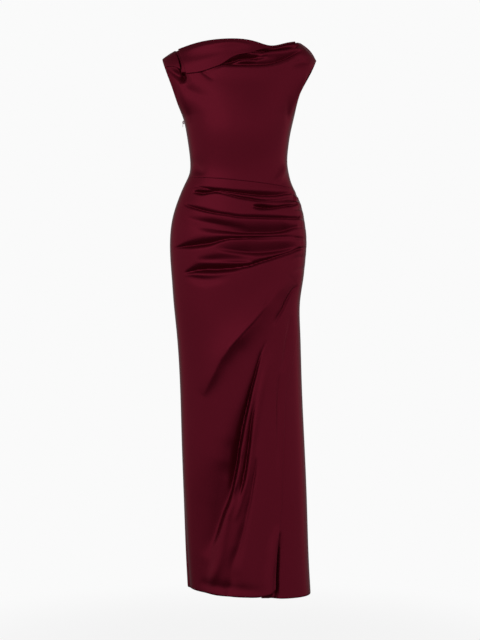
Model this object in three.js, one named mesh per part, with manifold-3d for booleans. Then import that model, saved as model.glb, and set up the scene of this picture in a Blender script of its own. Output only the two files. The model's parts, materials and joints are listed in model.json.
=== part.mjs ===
// A full-length satin dress: a draped boat neck folded over at the front, a hip gathered into the left
// side seam, and a skirt front that laps over a side panel. The walls keep the hollow shape they are worn in.
// Millimetres, +Z up. The front faces -Y and +X is the wearer's left. The origin lies midway between the
// shoulder seams, in the plane of the side seams.
import Module from 'manifold-3d';
import * as THREE from 'three';
import { mergeVertices } from 'three/addons/utils/BufferGeometryUtils.js';

// Cloth and seams
const WALL = 1.6;
const SEAM_GAP = 0.3;
const LAYER_STEP = WALL + SEAM_GAP;
const BODY_POWER = 2.25;

// Heights of the seams at x = 0, and how far each falls for each millimetre towards the wearer's left
const WAIST = { z: -350, slope: -0.1 };
const HEM = { z: -1430, slope: -0.048 };

// Armholes: they run from the underarm to the cap's tip and bow forward and back between them
const ARMHOLE = { bottom: -175, top: -21, frontBow: 48, backBow: 54 };

// Neck: where the shoulder seams end, and how far the neckline stands in front of and behind them
const NECK = { right: -167, left: 158, frontDepth: 77, backDepth: 82, edgeDrop: 4 };
const SHOULDER_ROUNDING = 60;

// The left side seam leads forward of the side, from the underarm to the hip, by this angle
const SEAM_LEAD = { from: -175, to: -430, angle: 0.38 };

// The skirt front's free edge starts on the left side seam and laps over the side panel
const LAP = { top: -620, fullyLifted: -600, liftFrom: -550, cover: 44, fade: 40, clear: 1 };

// The side zip closes the right side seam. Its slider stops under the arm, and its pull hangs from a bridge.
const SLIDER = { z: -185, length: 9, width: 5.2, thick: 2.2, corner: 1.6, tilt: -13 };
const BRIDGE = { width: 1.5, outerSpan: 3.6, outerRise: 2.9, innerSpan: 2.4, innerRise: 1.9, sunk: 0.4 };
const PULL = { thick: 0.9, width: 5, bar: 0.9, eyeWidth: 3, eyeLength: 4, length: 12, tip: 1.5, pivotRise: 1.1 };

const SATIN = new THREE.Color(0.3, 0.05, 0.1);
const DARK_METAL = new THREE.Color(0.12, 0.1, 0.11);

const table = (names, rows) => rows.map(
  (row) => Object.fromEntries(names.map((name, i) => [name, row[i]])),
);

// Sections round the body: the wearer's right and left side, and how far front and back stand out
const SECTIONS = table(['z', 'right', 'left', 'front', 'back'], [
  [60, -208, 213, 76, 68],
  [-19, -203, 208, 87, 84],
  [-67, -186, 184, 94, 94],
  [-95, -176, 169, 99, 97],
  [-130, -164, 157, 105, 99],
  [-175, -147, 147, 111, 98],
  [-210, -139, 139, 113, 93],
  [-255, -132, 132, 110, 86],
  [-300, -128, 130, 105, 80],
  [-325, -131, 134, 103, 79],
  [-350, -142, 141, 103, 82],
  [-392, -160, 161, 107, 94],
  [-445, -176, 175, 114, 112],
  [-500, -182, 181, 118, 125],
  [-553, -181, 178, 119, 131],
  [-606, -177, 172, 119, 128],
  [-660, -173, 164, 118, 120],
  [-740, -165, 164, 117, 110],
  [-873, -156, 168, 116, 104],
  [-1033, -151, 175, 117, 105],
  [-1200, -145, 182, 120, 109],
  [-1354, -139, 187, 124, 114],
  [-1460, -133, 193, 127, 119],
]);

const RIGHT_SHOULDER = table(['x', 'z'], [[-215, -30], [-203, -21], [-186, -9], [-167, 2]]);
const LEFT_SHOULDER = table(['x', 'z'], [[158, 27], [175, 15], [186, 5], [207, -21], [220, -38]]);
const FRONT_NECKLINE = table(['x', 'z'], [
  [-167, 2], [-145, 8], [-88, 19], [-22, 23], [46, 16], [85, 8], [128, 20], [158, 27],
]);
const BACK_NECKLINE = table(['x', 'z'], [[-167, 2], [-110, -2], [0, -6], [95, 0], [158, 27]]);

// The free edge of the skirt front
const LAP_EDGE = table(['z', 'x'], [
  [-560, 163], [-620, 160], [-734, 153], [-805, 144], [-889, 125], [-988, 118],
  [-1131, 113], [-1227, 109], [-1287, 102], [-1460, 96],
]);

// How deep the fold-over hangs from the front neckline, and the back one from the shoulder and neckline
const FLAP_DROP = table(['x', 'drop'], [
  [-163, 74], [-109, 79], [-75, 73], [-46, 63], [-22, 48], [4, 38], [30, 30], [62, 12], [90, 4], [150, 4],
]);
const FLAP = { right: -158, left: 150, lean: 22, roll: 3.6, leftRoll: 2.5, settled: 26 };
// Turns are degrees over the shoulder, from the front through the seam at 0 to the back
const COLLAR = table(['row', 'innerX', 'innerTurn', 'outerX', 'outerTurn'], [
  [0, -151, -92, -189, -63],
  [1, -158, -60, -196, -42],
  [2, -166, -30, -200, -21],
  [3, -167, 0, -201, 0],
  [4, -165, 0, -199, 30],
  [5, -158, 0, -190, 60],
  [6, -144, 0, -168, 85],
  [7, -110, 0, -124, 95],
  [8, -60, 0, -64, 92],
  [9, 0, 0, 0, 82],
  [10, 80, 0, 79, 60],
  [11, 150, 0, 150, 34],
]);

// Folds: each path has points [x, z, depth, above, below], where above and below are the fold's widths on the
// upper or left side of the path and on its other side. A negative depth is a ridge.
const FOLD_COLUMNS = ['name', 'path'];

const BODICE_FOLDS = table(FOLD_COLUMNS, [
  ['neck valley', [[-50, -45, 0, 7, 6], [-12, -35, 10, 8, 7], [28, -28, 12, 9, 7], [80, -21, 0, 7, 6]]],
  ['valley under the neckline', [
    [40, -13, 0, 6, 6], [82, -4, 8, 8, 7], [119, 2, 9, 8, 7], [160, 11, 0, 6, 6],
  ]],
  ['neck roll', [[43, -31, 0, 7, 8], [82, -16, -6, 8, 10], [124, -9, -5, 8, 9], [174, 3, 0, 7, 7]]],
  ['cowl valley', [
    [-38, -46, 0, 8, 6], [7, -47, 6, 9, 7], [88, -39, 9, 11, 7], [122, -26, 8, 10, 7],
    [166, -3, 0, 7, 6],
  ]],
  ['cowl roll', [[-69, -57, 0, 8, 16], [4, -57, -4, 10, 20], [95, -51, -4, 10, 20], [150, -26, 0, 9, 12]]],
  ['pocket under the collar', [
    [-189, -46, 0, 7, 8], [-168, -64, 7, 9, 10], [-148, -80, 8, 12, 12], [-124, -95, 0, 10, 10],
  ]],
  ['chest drape', [
    [-158, -84, 0, 10, 12], [-132, -110, 5, 16, 18], [-94, -130, 4, 20, 22], [-50, -139, 0, 18, 20],
  ]],
  ['right armhole roll', [[-161, -86, 0, 10, 7], [-144, -136, -5, 11, 7], [-127, -196, 0, 10, 7]]],
  ['left armhole roll', [[135, -185, 0, 8, 7], [158, -112, -5, 10, 7], [184, -50, 0, 8, 7]]],
  ['waist hollow', [[-123, -285, 0, 14, 12], [-93, -331, 6, 18, 12], [-43, -351, 0, 16, 10]]],
]);

const FLAP_FOLDS = table(FOLD_COLUMNS, [
  ['fold-over roll', [[-158, -14, 0, 7, 12], [-87, 3, -6, 9, 16], [-17, 11, -6, 9, 16], [35, 3, 0, 7, 10]]],
]);

const SKIRT_FOLDS = table(FOLD_COLUMNS, [
  ['first pleat', [
    [-117, -363, 0, 6, 6], [-48, -376, 5, 7, 6], [30, -386, 7, 8, 7], [95, -387, 7, 9, 7],
    [138, -379, 3, 7, 6],
  ]],
  ['first pleat end', [[-122, -378, 0, 6, 6], [-93, -380, 9, 9, 8], [-43, -382, 0, 6, 6]]],
  ['second pleat', [
    [-64, -381, 0, 6, 6], [4, -395, 4, 7, 6], [108, -401, 3, 8, 7], [146, -393, 5, 10, 9],
    [165, -389, 1, 7, 7],
  ]],
  ['third pleat', [[30, -416, 0, 7, 7], [61, -420, 9, 9, 8], [98, -420, 6, 8, 7], [163, -402, 3, 7, 6]]],
  ['fourth pleat', [
    [-143, -407, 0, 7, 6], [-100, -425, 6, 8, 7], [-22, -441, 5, 8, 7], [56, -447, 5, 8, 7],
    [168, -441, 2, 7, 6],
  ]],
  ['band', [
    [-148, -443, 0, 10, 16], [-100, -456, 4, 12, 20], [-37, -467, 4, 12, 20], [25, -477, 0, 10, 14],
  ]],
  ['hip valley', [
    [-110, -470, 0, 16, 10], [-35, -481, 7, 22, 9], [43, -486, 11, 26, 8], [116, -481, 10, 22, 8],
    [156, -466, 0, 10, 7],
  ]],
  ['fifth pleat', [
    [-170, -525, 0, 7, 6], [-126, -519, 9, 10, 8], [-74, -513, 10, 12, 8], [-22, -502, 6, 9, 7],
    [61, -499, 4, 8, 8], [167, -497, 0, 8, 8],
  ]],
  ['drape under the fifth pleat', [
    [-60, -526, 0, 12, 8], [15, -536, 8, 26, 9], [87, -535, 9, 28, 9], [153, -519, 1, 16, 8],
  ]],
  ['soft pleat', [[-110, -556, 0, 10, 8], [-1, -557, 5, 18, 9], [45, -560, 0, 14, 7]]],
  ['main pleat', [
    [-142, -591, 0, 7, 6], [-108, -583, 11, 11, 9], [-61, -581, 14, 13, 9], [-9, -578, 12, 12, 8],
    [32, -571, 8, 9, 7], [108, -546, 6, 8, 7], [162, -526, 3, 8, 7],
  ]],
  ['dip under the main pleat', [[-142, -603, 0, 8, 9], [-95, -608, 5, 10, 12], [-17, -600, 0, 9, 10]]],
  ['upper cascade', [
    [-92, -911, 0, 16, 10], [-63, -856, -7, 26, 15], [-14, -778, -9, 34, 18], [30, -731, -8, 34, 26],
    [90, -651, -5, 26, 24], [135, -603, 0, 18, 20],
  ]],
  ['long cascade', [
    [-92, -1327, 0, 16, 11], [-68, -1268, 9, 16, 11], [-33, -1182, 13, 24, 10], [-12, -1111, 15, 27, 9],
    [4, -1024, 14, 19, 9], [25, -928, 11, 12, 8], [48, -837, 7, 9, 8], [74, -765, 0, 8, 7],
  ]],
  ['centre roll', [[-17, -1171, 0, 8, 8], [4, -1083, -5, 8, 8], [27, -954, -3, 8, 8], [45, -884, 0, 7, 7]]],
  ['second cascade', [
    [-1, -1176, 0, 8, 8], [17, -1101, 7, 9, 8], [31, -998, 5, 8, 8], [45, -920, 0, 7, 7],
  ]],
  ['second roll', [
    [-9, -1235, 0, 9, 9], [17, -1148, -5, 9, 9], [36, -1037, -4, 9, 10], [61, -881, -3, 10, 11],
    [82, -796, 0, 10, 10],
  ]],
  ['third cascade', [
    [-27, -1416, 6, 15, 16], [-9, -1328, 7, 13, 13], [23, -1209, 6, 10, 10], [45, -1070, 0, 8, 8],
  ]],
  ['third roll', [[-87, -1416, 0, 18, 14], [-43, -1308, -6, 16, 13], [-12, -1179, 0, 10, 9]]],
  ['flank hollow', [
    [-92, -1439, 3, 60, 18], [-76, -1310, 8, 64, 18], [-56, -1190, 8, 56, 16], [-28, -1080, 0, 30, 14],
  ]],
  ['drape beside the lap', [[111, -848, 0, 9, 9], [124, -778, 4, 10, 9], [135, -700, 0, 8, 8]]],
  ['roll of the free edge', [[83, -1421, -6, 15, 9], [89, -1339, -6, 14, 9], [103, -1247, 0, 10, 8]]],
]);

const PANEL_FOLDS = table(FOLD_COLUMNS, [
  ['tuck beside the free edge', [
    [96, -1430, 17, 40, 12], [101, -1340, 12, 36, 11], [106, -1262, 0, 24, 9],
  ]],
]);

const BACK_FOLDS = table(FOLD_COLUMNS, [
  ['back first pleat', [
    [-70, -370, 0, 8, 7], [40, -381, 6, 9, 7], [100, -384, 6, 9, 7], [164, -385, 0, 7, 7],
  ]],
  ['back second pleat', [
    [-60, -446, 0, 9, 8], [60, -442, 8, 11, 8], [120, -434, 7, 10, 8], [174, -428, 0, 8, 8],
  ]],
  ['back third pleat', [
    [-50, -534, 0, 10, 8], [70, -516, 9, 14, 8], [130, -501, 8, 12, 8], [176, -488, 0, 8, 8],
  ]],
  ['back main pleat', [
    [-80, -642, 0, 11, 9], [30, -608, 11, 18, 9], [90, -580, 10, 15, 8], [170, -542, 0, 8, 8],
  ]],
  ['back cascade', [
    [55, -900, 0, 20, 12], [84, -740, 9, 19, 10], [116, -670, 8, 13, 9], [166, -585, 0, 8, 8],
  ]],
  ['back long fold', [[-16, -1300, 0, 26, 18], [2, -1040, 9, 26, 16], [26, -820, 0, 16, 12]]],
  ['back hem fold', [[118, -1440, 8, 20, 24], [112, -1300, 8, 20, 22], [92, -1060, 0, 16, 16]]],
  ['back second hem fold', [[-84, -1440, 6, 22, 20], [-80, -1330, 5, 22, 20], [-72, -1220, 0, 18, 18]]],
  ['back bodice drape', [[-104, -240, 0, 14, 18], [-66, -284, 4, 16, 20], [-24, -325, 0, 14, 16]]],
  ['back waist drape', [[34, -335, 0, 14, 16], [68, -294, 4, 16, 20], [106, -254, 0, 14, 16]]],
]);

// Panel grids: columns and rows of quads
const GRID = {
  bodiceFront: [30, 26],
  bodiceBack: [16, 14],
  skirtFront: [36, 52],
  skirtBack: [18, 24],
  sidePanel: [6, 20],
  flap: [26, 10],
  collar: [33, 5],
};

const clamp01 = (value) => Math.min(1, Math.max(0, value));
const smoothstep = (value) => {
  const t = clamp01(value);
  return t * t * (3 - 2 * t);
};
const lerp = (a, b, t) => a + (b - a) * t;

// A natural cubic spline through one column of a table, held by its second derivatives
function spline(rows, argument, column) {
  const sorted = [...rows].sort((a, b) => a[argument] - b[argument]);
  const x = sorted.map((row) => row[argument]);
  const y = sorted.map((row) => row[column]);
  const last = x.length - 1;
  const slope = (i) => (y[i + 1] - y[i]) / (x[i + 1] - x[i]);
  const ratio = [0];
  const rest = [0];
  for (let i = 1; i < last; i += 1) {
    const below = x[i] - x[i - 1];
    const span = x[i + 1] - x[i - 1];
    const pivot = 2 * span - below * ratio[i - 1];
    ratio.push((x[i + 1] - x[i]) / pivot);
    rest.push((6 * (slope(i) - slope(i - 1)) - below * rest[i - 1]) / pivot);
  }
  const second = new Array(last + 1).fill(0);
  for (let i = last - 1; i > 0; i -= 1) {
    second[i] = rest[i] - ratio[i] * second[i + 1];
  }
  return (at) => {
    let i = 0;
    while (i < last - 1 && at > x[i + 1]) i += 1;
    const step = x[i + 1] - x[i];
    const a = (x[i + 1] - at) / step;
    const b = (at - x[i]) / step;
    const bend = ((a ** 3 - a) * second[i] + (b ** 3 - b) * second[i + 1]) * step ** 2 / 6;
    return a * y[i] + b * y[i + 1] + bend;
  };
}

const sectionRight = spline(SECTIONS, 'z', 'right');
const sectionLeft = spline(SECTIONS, 'z', 'left');
const sectionFront = spline(SECTIONS, 'z', 'front');
const sectionBack = spline(SECTIONS, 'z', 'back');
const rightShoulderZ = spline(RIGHT_SHOULDER, 'x', 'z');
const leftShoulderZ = spline(LEFT_SHOULDER, 'x', 'z');
const frontNecklineZ = spline(FRONT_NECKLINE, 'x', 'z');
const backNecklineZ = spline(BACK_NECKLINE, 'x', 'z');
const lapEdgeX = spline(LAP_EDGE, 'z', 'x');
const flapDrop = spline(FLAP_DROP, 'x', 'drop');

const waistZ = (x) => WAIST.z + WAIST.slope * x;
const hemZ = (x) => HEM.z + HEM.slope * x;
const middleX = (z) => (sectionRight(z) + sectionLeft(z)) / 2;
const halfWidth = (z) => (sectionLeft(z) - sectionRight(z)) / 2;
const seamLead = (z) => SEAM_LEAD.angle * smoothstep((z - SEAM_LEAD.from) / (SEAM_LEAD.to - SEAM_LEAD.from));

// The top of the body's cloth at x: the shoulder seams, and the front or back neckline between them
function topZ(x, front) {
  if (x <= NECK.right) return rightShoulderZ(x);
  if (x >= NECK.left) return leftShoulderZ(x);
  return front ? frontNecklineZ(x) : backNecklineZ(x);
}

const neckRun = (x) => {
  const centre = (NECK.left + NECK.right) / 2;
  const reach = (NECK.left - NECK.right) / 2;
  return Math.max(0, 1 - ((x - centre) / reach) ** 2) ** 0.65;
};

// The body's unfolded cloth at (x, z): a height field over the plane of the side seams. Below the underarm
// it is half of a rounded section. Above, it ends at the armholes where it stands out by their bow, and at the
// top it rounds over to the shoulder seams.
function bodyPoint(x, z, front) {
  const across = clamp01(Math.abs(x - middleX(z)) / halfWidth(z));
  const rise = clamp01((z - ARMHOLE.bottom) / (ARMHOLE.top - ARMHOLE.bottom));
  const bow = (front ? ARMHOLE.frontBow : ARMHOLE.backBow) * Math.max(0, Math.sin(Math.PI * rise)) ** 0.75;
  const depth = front ? sectionFront(z) : sectionBack(z);
  const closing = 1 - (bow / depth) ** BODY_POWER;
  const open = depth * (1 - closing * across ** BODY_POWER) ** (1 / BODY_POWER);
  const edge = (front ? NECK.frontDepth : NECK.backDepth) * neckRun(x);
  const below = clamp01((topZ(x, front) - z) / SHOULDER_ROUNDING);
  const eased = below * (2 - below);
  const settled = lerp(Math.sqrt(eased), eased, smoothstep(neckRun(x) / 0.6));
  const out = edge + (open - edge) * settled;
  return new THREE.Vector3(x, front ? -out : out, z);
}

// The straight pieces of a fold's smooth path, this many to each span between its points
const SPAN_PIECES = 8;
function foldLine(path) {
  const points = path.map(([x, z]) => new THREE.Vector2(x, z));
  return new THREE.SplineCurve(points).getPoints(SPAN_PIECES * (path.length - 1));
}

// How far one fold pushes the cloth out at (x, z)
function foldPush(fold, x, z) {
  let best = { distance: Infinity, above: true, at: 0 };
  for (let i = 0; i + 1 < fold.line.length; i += 1) {
    const [from, to] = [fold.line[i], fold.line[i + 1]];
    const run = new THREE.Vector2().subVectors(to, from);
    const away = new THREE.Vector2(x - from.x, z - from.y);
    const t = clamp01(away.dot(run) / run.lengthSq());
    const distance = Math.hypot(away.x - run.x * t, away.y - run.y * t);
    if (distance < best.distance) {
      const above = run.x * away.y - run.y * away.x > 0;
      best = { distance, above, at: (i + t) / SPAN_PIECES };
    }
  }
  const span = Math.min(Math.floor(best.at), fold.path.length - 2);
  const here = (column) => lerp(fold.path[span][column], fold.path[span + 1][column], best.at - span);
  const width = best.above ? here(3) : here(4);
  return -here(2) * Math.exp(-((best.distance / width) ** 2));
}

const prepared = (folds) => folds.map((fold) => ({ ...fold, line: foldLine(fold.path) }));
const bodiceFolds = prepared(BODICE_FOLDS);
const skirtFolds = prepared(SKIRT_FOLDS);
const backFolds = prepared(BACK_FOLDS);
const flapFolds = prepared(FLAP_FOLDS);
const panelFolds = prepared(PANEL_FOLDS);
const sumFolds = (folds, x, z) => folds.reduce((sum, fold) => sum + foldPush(fold, x, z), 0);

// Folds die out at the seams that hold them
function seamHold(x, z, front) {
  const across = clamp01(Math.abs(x - middleX(z)) / halfWidth(z));
  const angle = Math.acos(across ** (BODY_POWER / 2));
  const toRight = x < middleX(z) ? angle : Math.PI - angle;
  const lead = front ? -seamLead(z) : seamLead(z);
  const toLeft = Math.PI + lead - toRight;
  const sides = smoothstep(toRight * halfWidth(z) / 34) * smoothstep(toLeft * halfWidth(z) / 26);
  return sides * smoothstep(Math.abs(waistZ(x) - z) / 16);
}

// The cloth lies flat under the front fold-over, and valleys run on under its edge
function underFlap(x, z, push) {
  const top = topZ(x, true);
  const edge = top - NECK.edgeDrop - flapDrop(x);
  return push > 0 ? smoothstep((edge - 2 - z) / 12) : smoothstep((Math.min(edge + 10, top - 9) - z) / 6);
}

function foldAt(x, z, front) {
  const folds = front ? (z > waistZ(x) ? bodiceFolds : skirtFolds) : backFolds;
  const push = sumFolds(folds, x, z);
  const hold = seamHold(x, z, front);
  if (z <= ARMHOLE.bottom) return push * hold;
  const opened = push * lerp(hold, 1, smoothstep((z - ARMHOLE.bottom) / 60));
  if (!front) return opened;
  const shoulder = smoothstep((topZ(x, front) - z) / 10);
  return opened * underFlap(x, z, push) * lerp(0.35, 1, shoulder);
}

// How far the skirt front is lifted over the side panel, next to its free edge
function lapLift(x, z) {
  const fromEdge = lapEdgeX(z) - x;
  const nearEdge = 1 - smoothstep((fromEdge - LAP.cover) / LAP.fade);
  return (LAYER_STEP + LAP.clear) * nearEdge * smoothstep((LAP.liftFrom - z) / (LAP.liftFrom - LAP.fullyLifted));
}

// The outward normal of a height field point(x, z), from small steps in x and down z
function fieldNormal(point, x, z, front) {
  const step = 0.05;
  const alongX = point(x + step, z).sub(point(x - step, z));
  const upZ = point(x, z).sub(point(x, z - step));
  const normal = new THREE.Vector3().crossVectors(alongX, upZ).normalize();
  return front ? normal : normal.negate();
}

// The folded cloth
function clothPoint(x, z, front, lift = 0) {
  const field = (a, b) => bodyPoint(a, b, front);
  return field(x, z).addScaledVector(fieldNormal(field, x, z, front), foldAt(x, z, front) + lift);
}

// A closed wall round a grid of middle points. point(u, v) has u and v from 0 to 1, and the cross product
// of its u and v directions points out of the garment. keep holds the wall's vertices on their side of a seam.
function wall([columns, rows], point, keep = (vertex) => vertex) {
  const step = 1e-3;
  const outer = [];
  const inner = [];
  for (let j = 0; j <= rows; j += 1) {
    for (let i = 0; i <= columns; i += 1) {
      const [u, v] = [i / columns, j / rows];
      const alongU = point(Math.min(u + step, 1), v).sub(point(Math.max(u - step, 0), v));
      const alongV = point(u, Math.min(v + step, 1)).sub(point(u, Math.max(v - step, 0)));
      const out = alongU.cross(alongV).setLength(WALL / 2);
      outer.push(...keep(point(u, v).add(out)).toArray());
      inner.push(...keep(point(u, v).sub(out)).toArray());
    }
  }
  const positions = [...outer, ...inner];
  const count = outer.length / 3;
  const index = [];
  const quad = (a, b, c, d) => index.push(a, b, c, a, c, d);
  for (let j = 0; j < rows; j += 1) {
    for (let i = 0; i < columns; i += 1) {
      const a = j * (columns + 1) + i;
      const [b, c, d] = [a + 1, a + columns + 2, a + columns + 1];
      quad(a, b, c, d);
      quad(a + count, d + count, c + count, b + count);
    }
  }
  const rim = (a, b) => quad(b, a, a + count, b + count);
  for (let i = 0; i < columns; i += 1) {
    rim(i, i + 1);
    rim(rows * (columns + 1) + i + 1, rows * (columns + 1) + i);
  }
  for (let j = 0; j < rows; j += 1) {
    rim((j + 1) * (columns + 1), j * (columns + 1));
    rim(j * (columns + 1) + columns, (j + 1) * (columns + 1) + columns);
  }
  const geometry = new THREE.BufferGeometry();
  geometry.setAttribute('position', new THREE.Float32BufferAttribute(positions, 3));
  geometry.setIndex(index);
  geometry.computeVertexNormals();
  return geometry;
}

// The fraction of the half width at an angle round the section, 0 being the wearer's left side
const acrossAt = (angle) => Math.sign(Math.cos(angle)) * Math.abs(Math.cos(angle)) ** (2 / BODY_POWER);

// x and z for a panel column at height fraction v between two edges, whose heights depend on x
function settle(angleAt, lowZ, highZ, v) {
  let z = lerp(lowZ(0), highZ(0), v);
  let x = 0;
  for (let round = 0; round < 6; round += 1) {
    const topHeight = highZ(x);
    x = middleX(z) + halfWidth(z) * acrossAt(angleAt(z));
    z = lerp(lowZ(x), lerp(topHeight, highZ(x), 0.7), v);
  }
  return [x, z];
}

const parted = (point, front) => {
  point.y += (front ? -1 : 1) * SEAM_GAP / 2;
  return point;
};

// Above the underarm, a bodice piece stays on its side of the shoulder seams
const ownSide = (front) => (vertex) => {
  const limit = front ? Math.min : Math.max;
  if (vertex.z > ARMHOLE.bottom) vertex.y = limit(vertex.y, (front ? -1 : 1) * SEAM_GAP / 2);
  return vertex;
};

// Bodice pieces run from the waist seam to the shoulders and neckline, with closer rows at the top
function bodicePiece(front) {
  const closer = (s) => 1 - (1 - s) ** 1.5;
  const crownX = (angle) => middleX(ARMHOLE.top) + halfWidth(ARMHOLE.top) * acrossAt(angle);
  return (u, s) => {
    const v = closer(s);
    let z = lerp(WAIST.z, 0, v);
    let x = 0;
    let pastSide = false;
    for (let round = 0; round < 8; round += 1) {
      const lead = seamLead(z);
      const angle = front ? Math.PI + u * (Math.PI - lead) : -lead + u * (Math.PI + lead);
      const crown = crownX(angle);
      const lowered = NECK.edgeDrop * smoothstep(neckRun(crown) / 0.25);
      x = middleX(z) + halfWidth(z) * acrossAt(angle);
      z = lerp(waistZ(x) + SEAM_GAP / 2, topZ(crown, front) - lowered, v);
      pastSide = !front && angle < 0;
    }
    return parted(pastSide ? bodyPoint(x, z, true) : clothPoint(x, z, front), front);
  };
}

// Skirt pieces run from the hem to the waist seam, with closer rows at the hip
const towardsHip = (s) => 1 - (0.36 * (1 - s) + 0.64 * (1 - s) ** 3);
const waistEdge = (x) => waistZ(x) - SEAM_GAP / 2;

function lapAngle(z) {
  const across = clamp01((lapEdgeX(z) - middleX(z)) / halfWidth(z));
  return 2 * Math.PI - Math.acos(across ** (BODY_POWER / 2));
}

function skirtFrontPoint(u, s) {
  const onSeam = (z) => 2 * Math.PI - seamLead(z);
  const edge = (z) => (z > LAP.top ? onSeam(z) : Math.min(onSeam(z), lapAngle(z)));
  const [x, z] = settle((height) => lerp(Math.PI, edge(height), u), hemZ, waistEdge, towardsHip(s));
  const corner = 24 * Math.exp(-(1 - u) * 15) * Math.exp(-s * 45) * smoothstep(1.5 - s * 10);
  return parted(clothPoint(x, z + corner, true, lapLift(x, z + corner)), true);
}

function skirtBackPoint(u, s) {
  const angle = (z) => lerp(-seamLead(z), Math.PI, u);
  const [x, z] = settle(angle, hemZ, waistEdge, towardsHip(s));
  const pastSide = angle(z) < 0;
  return parted(pastSide ? bodyPoint(x, z, true) : clothPoint(x, z, false), false);
}

// The side panel hangs from the left side seam and runs under the skirt front's free edge
function sidePanelPoint(u, s) {
  const onSeam = (z) => 2 * Math.PI - seamLead(z);
  const under = (z) => lapAngle(z) - (LAP.cover - 8) / halfWidth(z);
  const top = LAP.top + 12;
  const angle = (z) => lerp(Math.min(under(z), onSeam(z) - 0.2), onSeam(z), u);
  const [x, z] = settle(angle, hemZ, () => top, s);
  return parted(clothPoint(x, z, true, sumFolds(panelFolds, x, z)), true);
}

// The front fold-over: tucked inside the neckline, rolled over it and hanging down outside
function flapPoint(u, s) {
  const topX = lerp(FLAP.right, FLAP.left, u);
  const edgeZ = topZ(topX, true) - NECK.edgeDrop;
  const field = (a, b) => bodyPoint(a, b, true);
  const out = fieldNormal(field, topX, edgeZ, true);
  const up = field(topX, edgeZ).sub(field(topX, edgeZ - 1)).normalize();
  const turned = 0.4;
  const roll = lerp(FLAP.roll, FLAP.leftRoll, smoothstep(u * 2 - 0.9));
  if (s < turned) {
    const angle = Math.PI * (s / turned);
    const centre = field(topX, edgeZ).addScaledVector(up, 0.6);
    return centre
      .addScaledVector(out, -roll * Math.cos(angle))
      .addScaledVector(up, roll * Math.sin(angle));
  }
  const hang = (s - turned) / (1 - turned);
  const drop = Math.max(4, flapDrop(topX)) * hang;
  const x = topX + FLAP.lean * hang * (1 - u) ** 3;
  const z = topZ(x, true) - NECK.edgeDrop - drop;
  const offset = lerp(roll, LAYER_STEP + 0.5, smoothstep(drop / FLAP.settled));
  const folded = offset + sumFolds(flapFolds, x, z) * smoothstep(drop / 8);
  return field(x, z).addScaledVector(fieldNormal(field, x, z, true), folded);
}

const collarColumn = Object.fromEntries(
  ['innerX', 'innerTurn', 'outerX', 'outerTurn'].map((name) => [name, spline(COLLAR, 'row', name)]),
);

// The back fold-over starts in front of the right shoulder, lies over it and follows the back neckline
function collarPoint(u, s) {
  const row = u * (COLLAR.length - 1);
  const onFront = COLLAR[3].row - row;
  const innerTurn = onFront > 0 ? Math.min(0, collarColumn.innerTurn(row)) : 0;
  const outerTurn = collarColumn.outerTurn(row);
  const turn = THREE.MathUtils.degToRad(lerp(outerTurn, innerTurn, s));
  const x = lerp(collarColumn.outerX(row), collarColumn.innerX(row), s);
  const front = onFront > 0;
  const drop = SHOULDER_ROUNDING * (1 - Math.cos(turn));
  const field = (a, b) => bodyPoint(a, b, front);
  const z = topZ(x, front) - drop;
  return field(x, z).addScaledVector(fieldNormal(field, x, z, front), LAYER_STEP + 1);
}

const wasm = await Module();
wasm.setup();

function toSolid(geometry) {
  const bare = geometry.clone();
  bare.deleteAttribute('normal');
  bare.deleteAttribute('uv');
  const merged = mergeVertices(bare);
  return new wasm.Manifold(new wasm.Mesh({
    numProp: 3,
    vertProperties: new Float32Array(merged.attributes.position.array),
    triVerts: new Uint32Array(merged.index.array),
  }));
}

function fromSolid(solid) {
  const mesh = solid.getMesh();
  const geometry = new THREE.BufferGeometry();
  geometry.setAttribute('position', new THREE.BufferAttribute(mesh.vertProperties, 3));
  geometry.setIndex(new THREE.BufferAttribute(mesh.triVerts, 1));
  geometry.computeVertexNormals();
  return geometry;
}

const [AXIS_X, AXIS_Y, AXIS_Z] = [[1, 0, 0], [0, 1, 0], [0, 0, 1]].map((axis) => new THREE.Vector3(...axis));

// A shape drawn in y and z, thick along x and centred on x = 0
function plate(shape, depth, curveSegments) {
  const geometry = new THREE.ExtrudeGeometry(shape, { depth, bevelEnabled: false, curveSegments });
  geometry.translate(0, 0, -depth / 2);
  return geometry.applyMatrix4(new THREE.Matrix4().makeBasis(AXIS_Y, AXIS_Z, AXIS_X));
}

function sliderBody() {
  const [half, reach, round] = [SLIDER.width / 2, SLIDER.length / 2, SLIDER.corner];
  const outline = new THREE.Shape();
  outline.absarc(half - round, reach - round, round, 0, Math.PI / 2);
  outline.absarc(round - half, reach - round, round, Math.PI / 2, Math.PI);
  outline.absarc(round - half, round - reach, round, Math.PI, 1.5 * Math.PI);
  outline.absarc(half - round, round - reach, round, 1.5 * Math.PI, 2 * Math.PI);
  return plate(outline, SLIDER.thick, 4).translate(-SLIDER.thick / 2, 0, 0);
}

// The arch that the pull's bar lies under, on the slider's outer face
function sliderBridge() {
  const face = -SLIDER.thick;
  const arch = new THREE.Shape();
  arch.moveTo(face + BRIDGE.sunk, -BRIDGE.outerSpan);
  arch.absellipse(face, 0, BRIDGE.outerRise, BRIDGE.outerSpan, -Math.PI / 2, Math.PI / 2, true);
  arch.lineTo(face + BRIDGE.sunk, BRIDGE.outerSpan);
  arch.lineTo(face + BRIDGE.sunk, BRIDGE.innerSpan);
  arch.absellipse(face, 0, BRIDGE.innerRise, BRIDGE.innerSpan, Math.PI / 2, -Math.PI / 2, false);
  arch.lineTo(face + BRIDGE.sunk, -BRIDGE.innerSpan);
  const options = { depth: BRIDGE.width, bevelEnabled: false, curveSegments: 10 };
  const geometry = new THREE.ExtrudeGeometry(arch, options).translate(0, 0, -BRIDGE.width / 2);
  return geometry.applyMatrix4(new THREE.Matrix4().makeBasis(AXIS_X, AXIS_Z, AXIS_Y.clone().negate()));
}

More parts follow.
